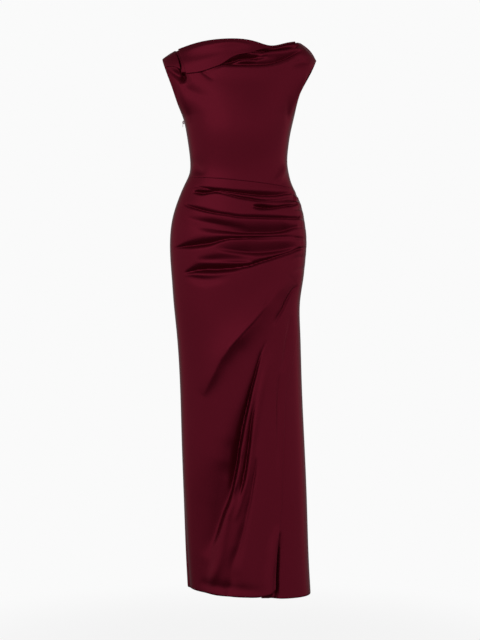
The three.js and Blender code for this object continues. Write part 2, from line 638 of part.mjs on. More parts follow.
// The pull, with its bar's centre at the origin and its tab hanging down
function pullGeometry() {
  const half = PULL.width / 2;
  const top = PULL.bar / 2;
  const outline = new THREE.Shape();
  outline.moveTo(-half, top - 0.5);
  outline.quadraticCurveTo(-half, top, 0.5 - half, top);
  outline.lineTo(half - 0.5, top);
  outline.quadraticCurveTo(half, top, half, top - 0.5);
  outline.quadraticCurveTo(half, -PULL.eyeLength - 1, PULL.tip, PULL.tip - PULL.length);
  outline.absarc(0, PULL.tip - PULL.length, PULL.tip, 0, -Math.PI, true);
  outline.quadraticCurveTo(-half, -PULL.eyeLength - 1, -half, top - 0.5);
  const eye = new THREE.Path();
  const side = PULL.eyeWidth / 2;
  eye.moveTo(-side, -top);
  eye.lineTo(-side * 0.8, -PULL.eyeLength);
  eye.lineTo(side * 0.8, -PULL.eyeLength);
  eye.lineTo(side, -top);
  outline.holes.push(eye);
  return plate(outline, PULL.thick, 6);
}

const satin = (name) => new THREE.MeshStandardMaterial({ name, color: SATIN, roughness: 0.38, metalness: 0 });
const dress = new THREE.Group();

function add(name, geometry, material = satin(name)) {
  const mesh = new THREE.Mesh(geometry, material);
  mesh.name = name;
  dress.add(mesh);
  return mesh;
}

add('bodice_front', wall(GRID.bodiceFront, bodicePiece(true), ownSide(true)));
add('bodice_back', wall(GRID.bodiceBack, bodicePiece(false), ownSide(false)));
add('skirt_front', wall(GRID.skirtFront, skirtFrontPoint));
add('skirt_back', wall(GRID.skirtBack, skirtBackPoint));
add('side_panel', wall(GRID.sidePanel, sidePanelPoint));
add('neck_flap', wall(GRID.flap, flapPoint));
add('back_collar', wall(GRID.collar, collarPoint));

const seamPoint = bodyPoint(sectionRight(SLIDER.z), SLIDER.z, true);
const tilt = THREE.MathUtils.degToRad(SLIDER.tilt);
const outOfSeam = new THREE.Vector3(-1, 0, 0).applyAxisAngle(AXIS_Y, tilt);
const metal = new THREE.MeshStandardMaterial({ name: 'zip', color: DARK_METAL, roughness: 0.35, metalness: 0.9 });

const zip = new THREE.Group();
zip.position.copy(seamPoint).addScaledVector(outOfSeam, WALL / 2 + SEAM_GAP);
dress.add(zip);

const slider = add('zip_slider', fromSolid(toSolid(sliderBody()).add(toSolid(sliderBridge()))), metal);
slider.rotation.y = tilt;
zip.add(slider);

const pull = add('zip_pull', pullGeometry(), metal);
pull.position.copy(outOfSeam).multiplyScalar(SLIDER.thick + PULL.pivotRise);
zip.add(pull);

export default dress;
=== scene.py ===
"""A full-length satin dress with a folded boat neck, a gathered hip and a lapped skirt front.

It stands in a plain studio. The cloth's surfaces are worked out in millimetres, on the sections, seams and
folds of the frame's solids, and each mesh is then written in metres.
"""
import json
import math

import bpy
import numpy as np
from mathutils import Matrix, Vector


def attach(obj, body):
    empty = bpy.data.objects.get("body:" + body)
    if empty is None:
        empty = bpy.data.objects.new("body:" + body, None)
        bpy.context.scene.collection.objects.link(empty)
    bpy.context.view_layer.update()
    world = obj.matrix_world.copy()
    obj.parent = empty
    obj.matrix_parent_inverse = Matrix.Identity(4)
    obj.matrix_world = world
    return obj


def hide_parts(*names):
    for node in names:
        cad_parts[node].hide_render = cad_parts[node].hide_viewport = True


bl_info = {
    "name": "Satin dress",
    "version": (1, 0, 0),
    "blender": (4, 5, 0),
    "location": "View3D > Sidebar > Dress",
    "description": "Builds a satin dress and its studio around the packed frame",
    "category": "Add Mesh",
}

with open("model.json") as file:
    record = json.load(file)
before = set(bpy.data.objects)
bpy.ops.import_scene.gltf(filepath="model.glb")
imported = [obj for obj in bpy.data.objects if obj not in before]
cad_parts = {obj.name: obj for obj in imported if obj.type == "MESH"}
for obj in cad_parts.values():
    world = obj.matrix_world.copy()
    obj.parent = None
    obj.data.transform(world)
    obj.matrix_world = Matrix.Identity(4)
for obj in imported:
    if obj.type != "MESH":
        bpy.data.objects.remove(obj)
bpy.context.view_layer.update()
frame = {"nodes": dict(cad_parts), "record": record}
MM = 0.001
HEM_DEPTH = 0.024
HEM_STITCH = 0.008
HEM_STITCH_SIZE = {"height": 0.0004, "half_length": 0.0006}
FINISHES = {m["slot"]: m for m in frame["record"]["materials"]}
METAL_COLOR = tuple(FINISHES["zip_metal"]["base_color"][:3])

# Cloth and seams
WALL = 1.3
RIM_SHARE = 0.45
LAYER_STEP = 1.9
BODY_POWER = 2.25
WAIST = {"z": -350, "slope": -0.1}
HEM = {"z": -1430, "slope": -0.048}
ARMHOLE = {"bottom": -175, "top": -21, "front_bow": 48, "back_bow": 54}
NECK = {"right": -167, "left": 158, "front_depth": 77, "back_depth": 82, "edge_drop": 4,
        "roundness": 0.65, "eased_within": 0.6, "dropped_within": 0.25}
SHOULDER_ROUNDING = 60
COIL = {"top": -191, "bottom": -430, "pitch": 1.5, "tooth": (0.9, 1.5, 0.8), "out": 0.25}
SEAM_LEAD = {"from": -175, "to": -430, "angle": 0.38}
LAP = {"top": -620, "fully_lifted": -600, "lift_from": -550, "cover": 44, "fade": 40, "clear": 1}
PANEL = {"top": -608, "cover": 36, "least_angle": 0.2}
HEM_CORNER = {"rise": 24, "across": 15, "up": 45}
FLAP = {"right": -158, "left": 150, "lean": 22, "roll": 3.6, "left_roll": 2.5, "settled": 26,
        "turned": 0.4, "lift": 0.6, "least_drop": 4, "clear": 0.5, "fold_fade": 8}
COLLAR_CLEAR = 1
# How far from a seam or edge the folds reach their full depth
HOLD = {"right": 30, "front_left": 10, "back_left": 22, "waist": 14, "armhole": 60, "shoulder": 10}
SHOULDER_SHARE = 0.35
# Where the front fold-over lets the folds below it begin
UNDER_FLAP = {"ridge_drop": 2, "ridge_fade": 12, "valley_rise": 10, "valley_top": 9, "valley_fade": 6,
              "free_right_of": -149, "free_fade": 7}
# A fold is left out past this many of its widths
FOLD_REACH = 3.2


def table(names, rows):
    """Named columns of a short table, each as an array."""
    return {name: np.array([row[i] for row in rows], float) for i, name in enumerate(names)}


# Sections round the body: the wearer's right and left side, and how far front and back stand out
SECTIONS = table(("z", "right", "left", "front", "back"), [
    (60, -208, 213, 76, 68),
    (-19, -203, 208, 87, 84),
    (-67, -186, 184, 94, 94),
    (-95, -176, 169, 99, 97),
    (-130, -164, 157, 105, 99),
    (-175, -147, 147, 111, 98),
    (-210, -139, 139, 113, 93),
    (-255, -132, 132, 110, 86),
    (-300, -128, 130, 105, 80),
    (-325, -131, 134, 103, 79),
    (-350, -142, 141, 103, 82),
    (-392, -160, 161, 107, 94),
    (-445, -176, 175, 114, 112),
    (-500, -182, 181, 118, 125),
    (-553, -181, 178, 119, 131),
    (-606, -177, 172, 119, 128),
    (-660, -173, 164, 118, 120),
    (-740, -165, 164, 117, 110),
    (-873, -156, 168, 116, 104),
    (-1033, -151, 175, 117, 105),
    (-1200, -145, 182, 120, 109),
    (-1354, -139, 187, 124, 114),
    (-1460, -133, 193, 127, 119),
])
RIGHT_SHOULDER = table(("x", "z"), [(-215, -30), (-203, -21), (-186, -9), (-167, 2)])
LEFT_SHOULDER = table(("x", "z"), [(158, 27), (175, 15), (186, 5), (207, -21), (220, -38)])
FRONT_NECKLINE = table(("x", "z"), [
    (-167, 2), (-145, 8), (-88, 19), (-22, 23), (46, 16), (85, 8), (128, 20), (158, 27),
])
BACK_NECKLINE = table(("x", "z"), [(-167, 2), (-110, -2), (0, -6), (95, 0), (158, 27)])
LAP_EDGE = table(("z", "x"), [
    (-560, 163), (-620, 160), (-734, 153), (-805, 144), (-889, 125), (-988, 118),
    (-1131, 113), (-1227, 109), (-1287, 102), (-1460, 96),
])
FLAP_DROP = table(("x", "drop"), [
    (-163, 74), (-109, 79), (-75, 73), (-46, 63), (-22, 48), (4, 38), (30, 30),
    (62, 12), (90, 4), (150, 4),
])
# Turns are degrees over the shoulder, from the front through the seam at 0 to the back
COLLAR = table(("row", "inner_x", "inner_turn", "outer_x", "outer_turn"), [
    (0, -151, -92, -189, -63),
    (1, -158, -60, -196, -42),
    (2, -166, -30, -200, -21),
    (3, -167, 0, -201, 0),
    (4, -165, 0, -199, 30),
    (5, -158, 0, -190, 60),
    (6, -144, 0, -168, 85),
    (7, -110, 0, -124, 95),
    (8, -60, 0, -64, 92),
    (9, 0, 0, 0, 82),
    (10, 80, 0, 79, 60),
    (11, 150, 0, 150, 34),
])
COLLAR_SEAM_ROW = 3

# Folds: name, how sharply each side of the path falls off as a power of the distance, and the path. Each of
# its points has x and z, how deep the fold is there, and its width on the upper or left side and on the
# other side. A negative depth is a ridge.
BODICE_FOLDS = [
    ("neck valley", 2.2, 2.2, [
        (-59, -47, 0, 3, 3), (-43, -43, 6, 4, 3.5), (-27, -40, 11, 5, 4), (-12, -35, 12, 6, 5),
        (4, -30, 15, 8, 5), (20, -28, 15, 8, 5), (35, -28, 12, 7, 5), (51, -27, 9, 6, 5),
        (67, -25, 4, 5, 4), (77, -22, 0, 4, 4),
    ]),
    ("valley under the neckline", 2, 2, [
        (33, -15, 0, 3, 3), (48, -11, 6, 3.5, 3), (64, -8, 9, 5, 4), (82, -4, 11, 6, 4.5),
        (101, -1, 12, 6, 5), (119, 2, 12, 6, 5), (135, 5, 11, 5, 5), (148, 8, 7, 4, 4),
        (158, 11, 0, 3, 3),
    ]),
    ("neck roll", 2, 2, [
        (43, -31, 0, 4, 6), (61, -23, -5, 5, 7), (82, -16, -7, 5, 8), (103, -13, -7, 5, 8),
        (124, -9, -6, 5, 7), (142, -4, -5, 5, 6), (161, 1, -2, 5, 5), (174, 3, 0, 5, 5),
    ]),
    ("cowl valley", 1.5, 2, [
        (-38, -46, 0, 4, 3), (-17, -46, 5, 6, 4), (7, -47, 6, 7, 4), (30, -47, 6, 7, 4),
        (51, -46, 7, 8, 4), (69, -44, 9, 9, 4), (88, -39, 10, 9, 4), (106, -32, 10, 8, 4),
        (122, -26, 9, 7, 4), (137, -18, 7, 6, 4), (153, -9, 4, 5, 4), (166, -3, 0, 4, 4),
    ]),
    ("small roll", 2, 2, [
        (-6, -39, 0, 3, 3), (12, -38, -3, 4, 3), (30, -38, -3, 4, 3), (48, -36, 0, 3, 3),
    ]),
    ("cowl roll", 2, 1.8, [
        (-69, -57, 0, 5, 14), (-43, -56, -3, 6, 16), (4, -57, -4, 7, 18), (56, -57, -4, 8, 20),
        (95, -51, -4, 8, 18), (127, -39, -3, 8, 14), (150, -26, 0, 7, 10),
    ]),
    ("notch under the fold-over", 2, 1.6, [
        (-103, -60, 0, 4, 4), (-95, -65, 2, 5, 4), (-85, -73, 2.5, 6, 5), (-74, -81, 2, 7, 6),
        (-61, -89, 0, 7, 7),
    ]),
    ("chest drape", 1.8, 1.8, [
        (-158, -84, 0, 8, 10), (-147, -96, 3, 12, 14), (-132, -110, 5, 16, 18), (-114, -121, 5, 18, 20),
        (-94, -130, 4, 20, 22), (-72, -136, 2, 20, 22), (-50, -139, 0, 18, 20),
    ]),
    ("pocket under the collar", 2.2, 2.2, [
        (-190, -44, 0, 5, 5), (-180, -54, 4, 8, 6), (-169, -64, 7, 10, 7), (-158, -73, 8, 11, 8),
        (-147, -80, 6, 11, 9), (-136, -86, 3, 10, 10), (-122, -92, 0, 9, 10),
    ]),
    ("gap beside the collar", 2, 2, [
        (-166, -10, 0, 3, 3), (-163, -24, 6, 4, 3), (-159, -38, 9, 5, 3.5), (-155, -52, 12, 7, 4),
        (-152, -66, 13, 9, 5), (-149, -80, 9, 10, 7), (-146, -93, 0, 9, 8),
    ]),
    ("left shoulder hollow", 1.8, 1.8, [
        (129, -39, 0, 8, 10), (150, -39, 3, 10, 12), (169, -34, 4, 10, 12), (187, -39, 0, 8, 10),
    ]),
    ("left armhole roll", 2, 2, [
        (135, -185, 0, 8, 5), (140, -159, -1.5, 12, 6), (148, -136, -2.5, 14, 6), (158, -112, -2.5, 14, 6),
        (169, -86, -2.5, 12, 6), (176, -65, -2, 10, 5), (184, -50, 0, 8, 5),
    ]),
    ("line beside the left armhole", 2, 2, [
        (129, -206, 0, 6, 6), (129, -178, 1, 6, 6), (130, -149, 1, 6, 6), (135, -123, 0, 6, 6),
    ]),
    ("right armhole roll", 2, 2, [
        (-161, -86, 0, 8, 6), (-151, -107, -3, 9, 10), (-144, -136, -3, 10, 14), (-136, -164, -2.5, 10, 14),
        (-127, -196, 0, 8, 10),
    ]),
    ("waist hollow", 1.6, 1.8, [
        (-130, -286, 0, 14, 12), (-118, -301, 4, 17, 13), (-105, -318, 5, 18, 13), (-92, -335, 0, 16, 12),
    ]),
    ("waist pull", 2, 2, [
        (88, -358, 0, 8, 6), (104, -344, -3, 9, 8), (117, -323, -4, 9, 8), (126, -297, 0, 8, 8),
    ]),
]
# On the front fold-over itself
FLAP_FOLDS = [
    ("fold-over roll", 2, 1.7, [
        (-158, -14, 0, 5, 10), (-127, -5, -4, 5, 12), (-87, 3, -6, 6, 15), (-48, 8, -7, 6, 17),
        (-17, 11, -6, 6, 16), (12, 8, -3, 5, 12), (35, 3, 0, 4, 8),
    ]),
    ("fold-over drape", 1.8, 1.6, [
        (-142, -44, 0, 8, 10), (-111, -39, -1, 9, 11), (-74, -31, -1.5, 10, 11), (-43, -21, -1, 8, 8),
        (-17, -8, 0, 6, 6),
    ]),
]
SKIRT_FOLDS = [
    ("first pleat", 1.7, 2, [
        (-117, -363, 0, 3, 3), (-87, -369, 4, 3, 3), (-48, -376, 6, 4, 3), (-9, -381, 7, 5, 3),
        (30, -386, 8, 7, 3), (61, -388, 9, 8, 3), (95, -387, 8, 8, 3), (122, -382, 6, 6, 3),
        (138, -379, 3, 5, 3),
    ]),
    ("second pleat", 1.8, 2, [
        (-64, -379, 0, 3, 2.5), (-43, -383, 4, 3, 2.5), (-22, -388, 5, 3.5, 3), (4, -395, 5, 3.5, 3),
        (30, -399, 5, 3.5, 3), (56, -403, 4, 3, 3), (82, -403, 2.5, 3, 3), (108, -401, 3, 5, 4),
        (130, -396, 6, 8, 7), (146, -393, 6, 9, 8), (162, -390, 2, 6, 6),
    ]),
    ("first pleat end", 2.5, 2.5, [
        (-119, -378, 0, 3, 3), (-106, -379, 9, 5, 5), (-93, -380, 12, 6, 5.5), (-77, -379, 11, 5, 4.5),
        (-58, -379, 7, 4, 3.5), (-43, -382, 0, 3, 3),
    ]),
    ("third pleat", 2, 2, [
        (35, -417, 0, 4, 4), (48, -419, 8, 5, 5), (61, -420, 11, 6, 5), (77, -421, 10, 5, 4),
        (98, -420, 6, 4, 3), (122, -415, 5, 3.5, 3), (143, -411, 5, 3.5, 3), (163, -402, 3, 3, 3),
    ]),
    ("fourth pleat", 1.6, 2, [
        (-143, -407, 0, 3, 3), (-127, -416, 5, 4, 3), (-100, -425, 7, 5, 3), (-74, -432, 6, 5, 3),
        (-48, -437, 5, 4, 3), (-22, -441, 5, 4, 3), (4, -445, 5, 4, 3), (56, -447, 5, 5, 3),
        (108, -447, 5, 4.5, 3), (148, -446, 4, 4, 3), (168, -441, 2, 3, 3),
    ]),
    ("band under the fourth pleat", 1.7, 1.7, [
        (-148, -443, 0, 7, 12), (-126, -449, 3, 9, 16), (-100, -456, 5, 10, 18), (-69, -461, 6, 10, 18),
        (-37, -467, 5, 10, 18), (-6, -472, 3, 10, 16), (25, -477, 0, 8, 12),
    ]),
    ("hip valley", 1.4, 2, [
        (-110, -470, 0, 14, 8), (-70, -476, 5, 18, 8), (-35, -481, 8, 20, 6), (4, -485, 11, 22, 5),
        (43, -486, 13, 24, 4), (82, -485, 13, 24, 4), (116, -481, 12, 20, 4), (137, -474, 7, 12, 4),
        (156, -466, 0, 8, 4),
    ]),
    ("fifth pleat", 1.5, 2.2, [
        (-170, -525, 0, 3, 2.5), (-153, -522, 5, 4, 3.5), (-140, -520, 8, 6, 5), (-126, -519, 10, 8, 6),
        (-100, -516, 11, 10, 7), (-74, -513, 11, 10, 6), (-48, -507, 9, 8, 4), (-22, -502, 7, 5, 3),
        (4, -501, 7, 3.5, 3), (30, -500, 6, 3.5, 3), (61, -499, 4, 4, 5), (95, -497, 3, 5, 6),
        (134, -496, 2, 5, 6), (167, -497, 0, 5, 6),
    ]),
    ("drape under the fifth pleat", 1.4, 2, [
        (-60, -526, 0, 8, 6), (-20, -532, 6, 18, 6), (15, -536, 9, 24, 6), (51, -538, 10, 26, 6),
        (87, -535, 10, 26, 6), (121, -529, 8, 22, 6), (153, -519, 2, 14, 5),
    ]),
    ("soft pleat", 1.9, 2.4, [
        (-110, -556, 0, 6, 6), (-92, -556, 2, 8, 7), (-69, -556, 4, 10, 7), (-35, -556, 5, 14, 7),
        (-1, -557, 6, 18, 6), (22, -558, 4, 20, 5), (45, -560, 0, 14, 4),
    ]),
    ("main pleat", 1.5, 2.2, [
        (-142, -591, 0, 3, 3), (-126, -587, 7, 5, 4), (-108, -583, 13, 8, 6), (-87, -581, 17, 10, 8),
        (-61, -581, 18, 11, 8), (-35, -580, 17, 10, 7), (-9, -578, 14, 9, 6), (12, -575, 11, 7, 4),
        (32, -571, 10, 5, 4), (56, -563, 8, 4.5, 3.5), (82, -555, 7, 4, 3.5), (108, -546, 6, 4, 3.5),
        (135, -537, 5, 4, 3.5), (162, -526, 3, 4, 3),
    ]),
    ("dip under the main pleat", 2.2, 2.2, [
        (-142, -601, 0, 5, 8), (-126, -602, 2, 6, 10), (-105, -606, 3.5, 8, 12), (-84, -608, 3.5, 9, 13),
        (-61, -607, 2.5, 9, 12), (-37, -603, 1, 8, 11), (-17, -598, 0, 6, 10),
    ]),
    ("upper cascade", 1.6, 1.3, [
        (-92, -911, 0, 14, 8), (-79, -887, -4, 22, 12), (-63, -856, -8, 28, 14), (-43, -814, -10, 34, 16),
        (-14, -778, -10, 38, 18), (7, -757, -10, 38, 22), (30, -731, -9, 36, 26), (51, -705, -8, 32, 30),
        (71, -677, -8, 26, 30), (90, -651, -6, 24, 28), (111, -627, -4, 20, 24), (135, -603, 0, 18, 20),
    ]),
    ("lip of the upper cascade", 2, 2, [
        (-32, -796, 0, 3, 2), (-12, -771, -2.5, 5, 2.5), (9, -747, -3, 6, 2.5), (35, -718, -3, 6, 2.5),
        (56, -692, -2, 5, 2.5), (77, -664, 0, 4, 2),
    ]),
    ("seam drape", 1.5, 2, [
        (90, -729, 0, 4, 3), (100, -708, 4, 5, 3), (111, -690, 5, 6, 3), (119, -673, 6, 6, 3),
        (129, -653, 6, 6, 3), (140, -634, 4, 5, 3), (154, -621, 0, 4, 3),
    ]),
    ("long cascade", 1.4, 2.5, [
        (-94, -1332, 0, 14, 14), (-80, -1297, 6, 16, 14), (-68, -1268, 10, 18, 14),
        (-57, -1239, 13, 21, 13), (-46, -1210, 15, 24, 12), (-33, -1182, 19, 26, 10),
        (-23, -1156, 22, 27, 8),
        (-17, -1135, 24, 27, 6), (-12, -1111, 26, 27, 6), (-5, -1080, 26, 25, 6),
        (-1, -1049, 24, 22, 5.5), (4, -1024, 22, 18, 5.5), (10, -993, 20, 15, 5), (17, -961, 18, 12, 5),
        (25, -928, 16, 9, 4.5), (32, -897, 13, 7, 4), (40, -868, 10, 6, 4), (48, -837, 8, 5, 4),
        (56, -809, 5, 5, 3.5), (62, -791, 2, 4, 3), (74, -765, 0, 4, 3),
    ]),
    ("centre roll", 2, 2, [
        (-17, -1171, 0, 4, 4), (-6, -1142, -4, 5, 4), (0, -1114, -5, 5, 4), (4, -1083, -5, 5, 4),
        (10, -1049, -5, 5, 4), (16, -1016, -4, 5, 4), (21, -985, -4, 5, 4), (27, -954, -3, 5, 4),
        (35, -920, -2, 5, 4), (45, -884, 0, 5, 4),
    ]),
    ("second cascade", 2, 2, [
        (-1, -1176, 0, 4, 4), (7, -1150, 5, 5, 4), (12, -1127, 8, 5, 4.5), (17, -1101, 9, 5, 4.5),
        (21, -1075, 9, 5, 4), (25, -1049, 8, 5, 4), (28, -1024, 8, 4.5, 4), (31, -998, 6, 4, 3.5),
        (34, -972, 5, 4, 3.5), (39, -946, 3, 4, 3), (45, -920, 0, 4, 3),
    ]),
    ("second roll", 2, 2, [
        (-9, -1235, 0, 6, 6), (1, -1204, -3, 6, 6), (10, -1173, -4, 6, 6), (17, -1148, -5, 6, 6),
        (25, -1114, -5, 6, 6), (31, -1075, -5, 6, 6), (36, -1037, -4, 6, 6), (43, -985, -4, 6, 7),
        (51, -933, -3, 7, 8), (61, -881, -3, 7, 9), (71, -837, -2, 8, 10), (82, -796, 0, 8, 10),
    ]),
    ("third cascade", 1.8, 1.8, [
        (-27, -1416, 6, 14, 16), (-19, -1385, 7, 14, 16), (-17, -1354, 7, 12, 14), (-9, -1328, 8, 12, 13),
        (1, -1302, 8, 11, 11), (9, -1271, 8, 10, 9), (17, -1240, 7, 9, 8), (23, -1209, 7, 8, 7),
        (30, -1179, 6, 7, 6), (35, -1150, 5, 6, 5), (40, -1122, 5, 5, 4.5), (44, -1096, 4, 5, 4),
        (45, -1070, 0, 4, 4),
    ]),
    ("third roll", 2, 2, [
        (-87, -1416, 0, 16, 12), (-66, -1377, -5, 16, 14), (-53, -1345, -6, 16, 14),
        (-43, -1308, -6, 15, 12), (-36, -1269, -6, 13, 10), (-30, -1236, -5, 12, 9),
        (-22, -1205, -4, 10, 7), (-12, -1179, 0, 7, 5),
    ]),
    ("flank hollow", 1.6, 1.8, [
        (-96, -1439, 11, 60, 26), (-88, -1370, 11, 62, 28), (-80, -1310, 10, 64, 30),
        (-72, -1250, 9, 62, 30), (-62, -1190, 7, 56, 26), (-48, -1130, 4, 44, 22), (-34, -1080, 0, 30, 18),
    ]),
    ("drape beside the lap", 2, 2, [
        (111, -848, 0, 6, 6), (119, -817, 3, 7, 6), (124, -778, 4, 7, 6), (130, -739, 3, 6, 6),
        (135, -700, 0, 5, 5),
    ]),
    ("line beside the lap", 2, 2, [
        (100, -1102, 0, 4, 4), (101, -1051, 2, 4, 4), (101, -973, 3, 4, 4), (102, -908, 3, 4, 4),
        (104, -856, 0, 4, 4),
    ]),
    ("roll of the free edge", 2, 2, [
        (83, -1421, -7, 14, 6), (85, -1380, -7, 14, 6), (89, -1339, -7, 13, 6), (92, -1303, -6, 12, 6),
        (97, -1275, -4, 10, 6), (103, -1247, 0, 8, 6),
    ]),
    ("dip above the hem", 1.7, 2, [
        (-112, -1402, 0, 12, 7), (-87, -1405, 3, 14, 7), (-48, -1408, 4, 14, 7), (4, -1411, 3, 12, 7),
        (50, -1413, 1, 10, 6), (80, -1411, 0, 8, 6),
    ]),
]
# On the side panel alone
PANEL_FOLDS = [
    ("tuck beside the free edge", 2, 1.8, [
        (96, -1430, 17, 40, 9), (98, -1386, 15, 40, 8), (101, -1340, 12, 36, 7),
        (104, -1302, 8, 30, 6), (106, -1262, 0, 24, 5),
    ]),
]
# Short puckers that cross the left side seam, on the pieces at both sides of it
PUCKERS = [
    ("pucker 1", 2, 2, [
        (132, -380, 0, 4, 3), (152, -381, 3, 4, 3), (166, -384, 2, 4, 3), (176, -388, 0, 4, 3),
    ]),
    ("pucker 2", 2, 2, [
        (134, -402, 0, 4, 3), (156, -398, 3, 4, 3), (170, -396, 3, 4, 3), (178, -394, 0, 4, 3),
    ]),
    ("pucker 3", 2, 2, [
        (140, -424, 0, 4, 4), (158, -420, 2, 5, 4), (172, -418, 2, 5, 4), (180, -416, 0, 4, 4),
    ]),
    ("pucker 4", 2, 2, [
        (138, -446, 0, 4, 3), (160, -445, 3, 4, 3), (174, -446, 3, 4, 3), (182, -448, 0, 4, 3),
    ]),
    ("pucker 5", 2, 2, [
        (140, -474, 0, 6, 5), (160, -468, 3, 6, 5), (174, -466, 2, 6, 5), (182, -464, 0, 6, 5),
    ]),
    ("pucker 6", 2, 2, [
        (140, -500, 0, 5, 4), (160, -499, 3, 5, 4), (174, -500, 2, 5, 4), (182, -502, 0, 5, 4),
    ]),
    ("pucker 7", 2, 2, [
        (138, -534, 0, 4, 4), (160, -527, 3, 5, 4), (172, -524, 3, 5, 4), (181, -522, 0, 4, 4),
    ]),
    ("pucker 8", 2, 2, [
        (140, -556, 0, 5, 5), (158, -550, 2, 6, 5), (170, -548, 2, 6, 5), (180, -546, 0, 5, 5),
    ]),
    ("pucker 9", 2, 2, [
        (140, -590, 0, 6, 5), (158, -582, 2, 6, 5), (170, -578, 2, 6, 5), (178, -574, 0, 5, 5),
    ]),
]
BACK_FOLDS = [
    ("back first pleat", 1.5, 2, [
        (-70, -370, 0, 6, 4), (-20, -375, 4, 7, 4), (40, -381, 6, 8, 4), (100, -384, 6, 8, 4),
        (145, -385, 4, 6, 4), (164, -385, 0, 5, 4),
    ]),
    ("back second pleat", 1.5, 2, [
        (-60, -446, 0, 8, 5), (0, -446, 6, 9, 5), (60, -442, 8, 10, 5), (120, -434, 7, 9, 5),
        (156, -430, 4, 7, 4), (174, -428, 0, 6, 4),
    ]),
    ("back third pleat", 1.5, 2, [
        (-50, -534, 0, 9, 6), (0, -528, 6, 12, 6), (70, -516, 9, 13, 6), (130, -501, 8, 11, 5),
        (162, -492, 3, 8, 5), (176, -488, 0, 6, 4),
    ]),
    ("back main pleat", 1.5, 2, [
        (-80, -642, 0, 10, 6), (-30, -630, 7, 14, 6), (30, -608, 11, 17, 6), (90, -580, 10, 14, 5),
        (140, -556, 6, 9, 4), (170, -542, 0, 6, 4),
    ]),
    ("back cascade", 1.5, 2, [
        (55, -900, 0, 20, 12), (64, -820, 6, 20, 10), (84, -740, 9, 18, 8), (116, -670, 8, 12, 6),
        (146, -616, 4, 8, 5), (166, -585, 0, 6, 4),
    ]),
    ("back long fold", 1.5, 2, [
        (-16, -1300, 0, 26, 18), (-6, -1150, 8, 28, 16), (2, -1040, 9, 26, 14), (14, -930, 6, 20, 12),
        (26, -820, 0, 16, 10),
    ]),
    ("back hem fold", 1.5, 2, [
        (118, -1440, 8, 20, 24), (112, -1300, 8, 20, 22), (104, -1180, 5, 18, 20), (92, -1060, 0, 16, 16),
    ]),
    ("back second hem fold", 1.5, 2, [
        (-84, -1440, 6, 22, 20), (-80, -1330, 5, 22, 20), (-72, -1220, 0, 18, 18),
    ]),
    ("back bodice drape", 1.5, 2, [
        (-104, -240, 0, 14, 18), (-80, -268, 4, 16, 20), (-50, -300, 4, 16, 20), (-24, -325, 0, 14, 16),
    ]),
    ("back waist drape", 1.5, 2, [
        (34, -335, 0, 14, 16), (55, -308, 4, 16, 20), (82, -280, 4, 16, 20), (106, -254, 0, 14, 16),
    ]),
]


def spline(rows, argument, column):
    """A natural cubic spline through one column of a table, as a function of arrays."""
    order = np.argsort(rows[argument])
    x, y = rows[argument][order], rows[column][order]
    step = np.diff(x)
    slope = np.diff(y) / step
    count = len(x)
    system = np.eye(count)
    right = np.zeros(count)
    inner = np.arange(1, count - 1)
    system[inner, inner - 1] = step[:-1]
    system[inner, inner] = 2 * (step[:-1] + step[1:])
    system[inner, inner + 1] = step[1:]
    right[inner] = 6 * np.diff(slope)
    second = np.linalg.solve(system, right)

    def curve(at):
        at = np.asarray(at, float)
        i = np.clip(np.searchsorted(x, at) - 1, 0, count - 2)
        a = (x[i + 1] - at) / step[i]
        b = (at - x[i]) / step[i]
        bend = ((a**3 - a) * second[i] + (b**3 - b) * second[i + 1]) * step[i]**2 / 6
        return a * y[i] + b * y[i + 1] + bend
    return curve


section = {name: spline(SECTIONS, "z", name) for name in ("right", "left", "front", "back")}
right_shoulder_z = spline(RIGHT_SHOULDER, "x", "z")
left_shoulder_z = spline(LEFT_SHOULDER, "x", "z")
front_neckline_z = spline(FRONT_NECKLINE, "x", "z")
back_neckline_z = spline(BACK_NECKLINE, "x", "z")
lap_edge_x = spline(LAP_EDGE, "z", "x")
flap_drop = spline(FLAP_DROP, "x", "drop")
collar = {name: spline(COLLAR, "row", name) for name in ("inner_x", "inner_turn", "outer_x", "outer_turn")}


def smoothstep(value):
    t = np.clip(value, 0, 1)
    return t * t * (3 - 2 * t)


def lerp(a, b, t):
    return a + (b - a) * t


def waist_z(x):
    return WAIST["z"] + WAIST["slope"] * x


def hem_z(x):
    return HEM["z"] + HEM["slope"] * x


def middle_x(z):
    return (section["right"](z) + section["left"](z)) / 2


def half_width(z):
    return (section["left"](z) - section["right"](z)) / 2


def seam_lead(z):
    return SEAM_LEAD["angle"] * smoothstep((z - SEAM_LEAD["from"]) / (SEAM_LEAD["to"] - SEAM_LEAD["from"]))


def top_z(x, front):
    """The top of the cloth at x: the shoulder seams, and the front or back neckline between them."""
    neckline = front_neckline_z(x) if front else back_neckline_z(x)
    z = np.where(x <= NECK["right"], right_shoulder_z(x), neckline)
    return np.where(x >= NECK["left"], left_shoulder_z(x), z)


def neck_run(x):
    """1 at the middle of the neckline, falling to 0 at the shoulder seams' ends along a rounded curve."""
    centre = (NECK["left"] + NECK["right"]) / 2
    reach = (NECK["left"] - NECK["right"]) / 2
    return np.maximum(0, 1 - ((x - centre) / reach)**2)**NECK["roundness"]


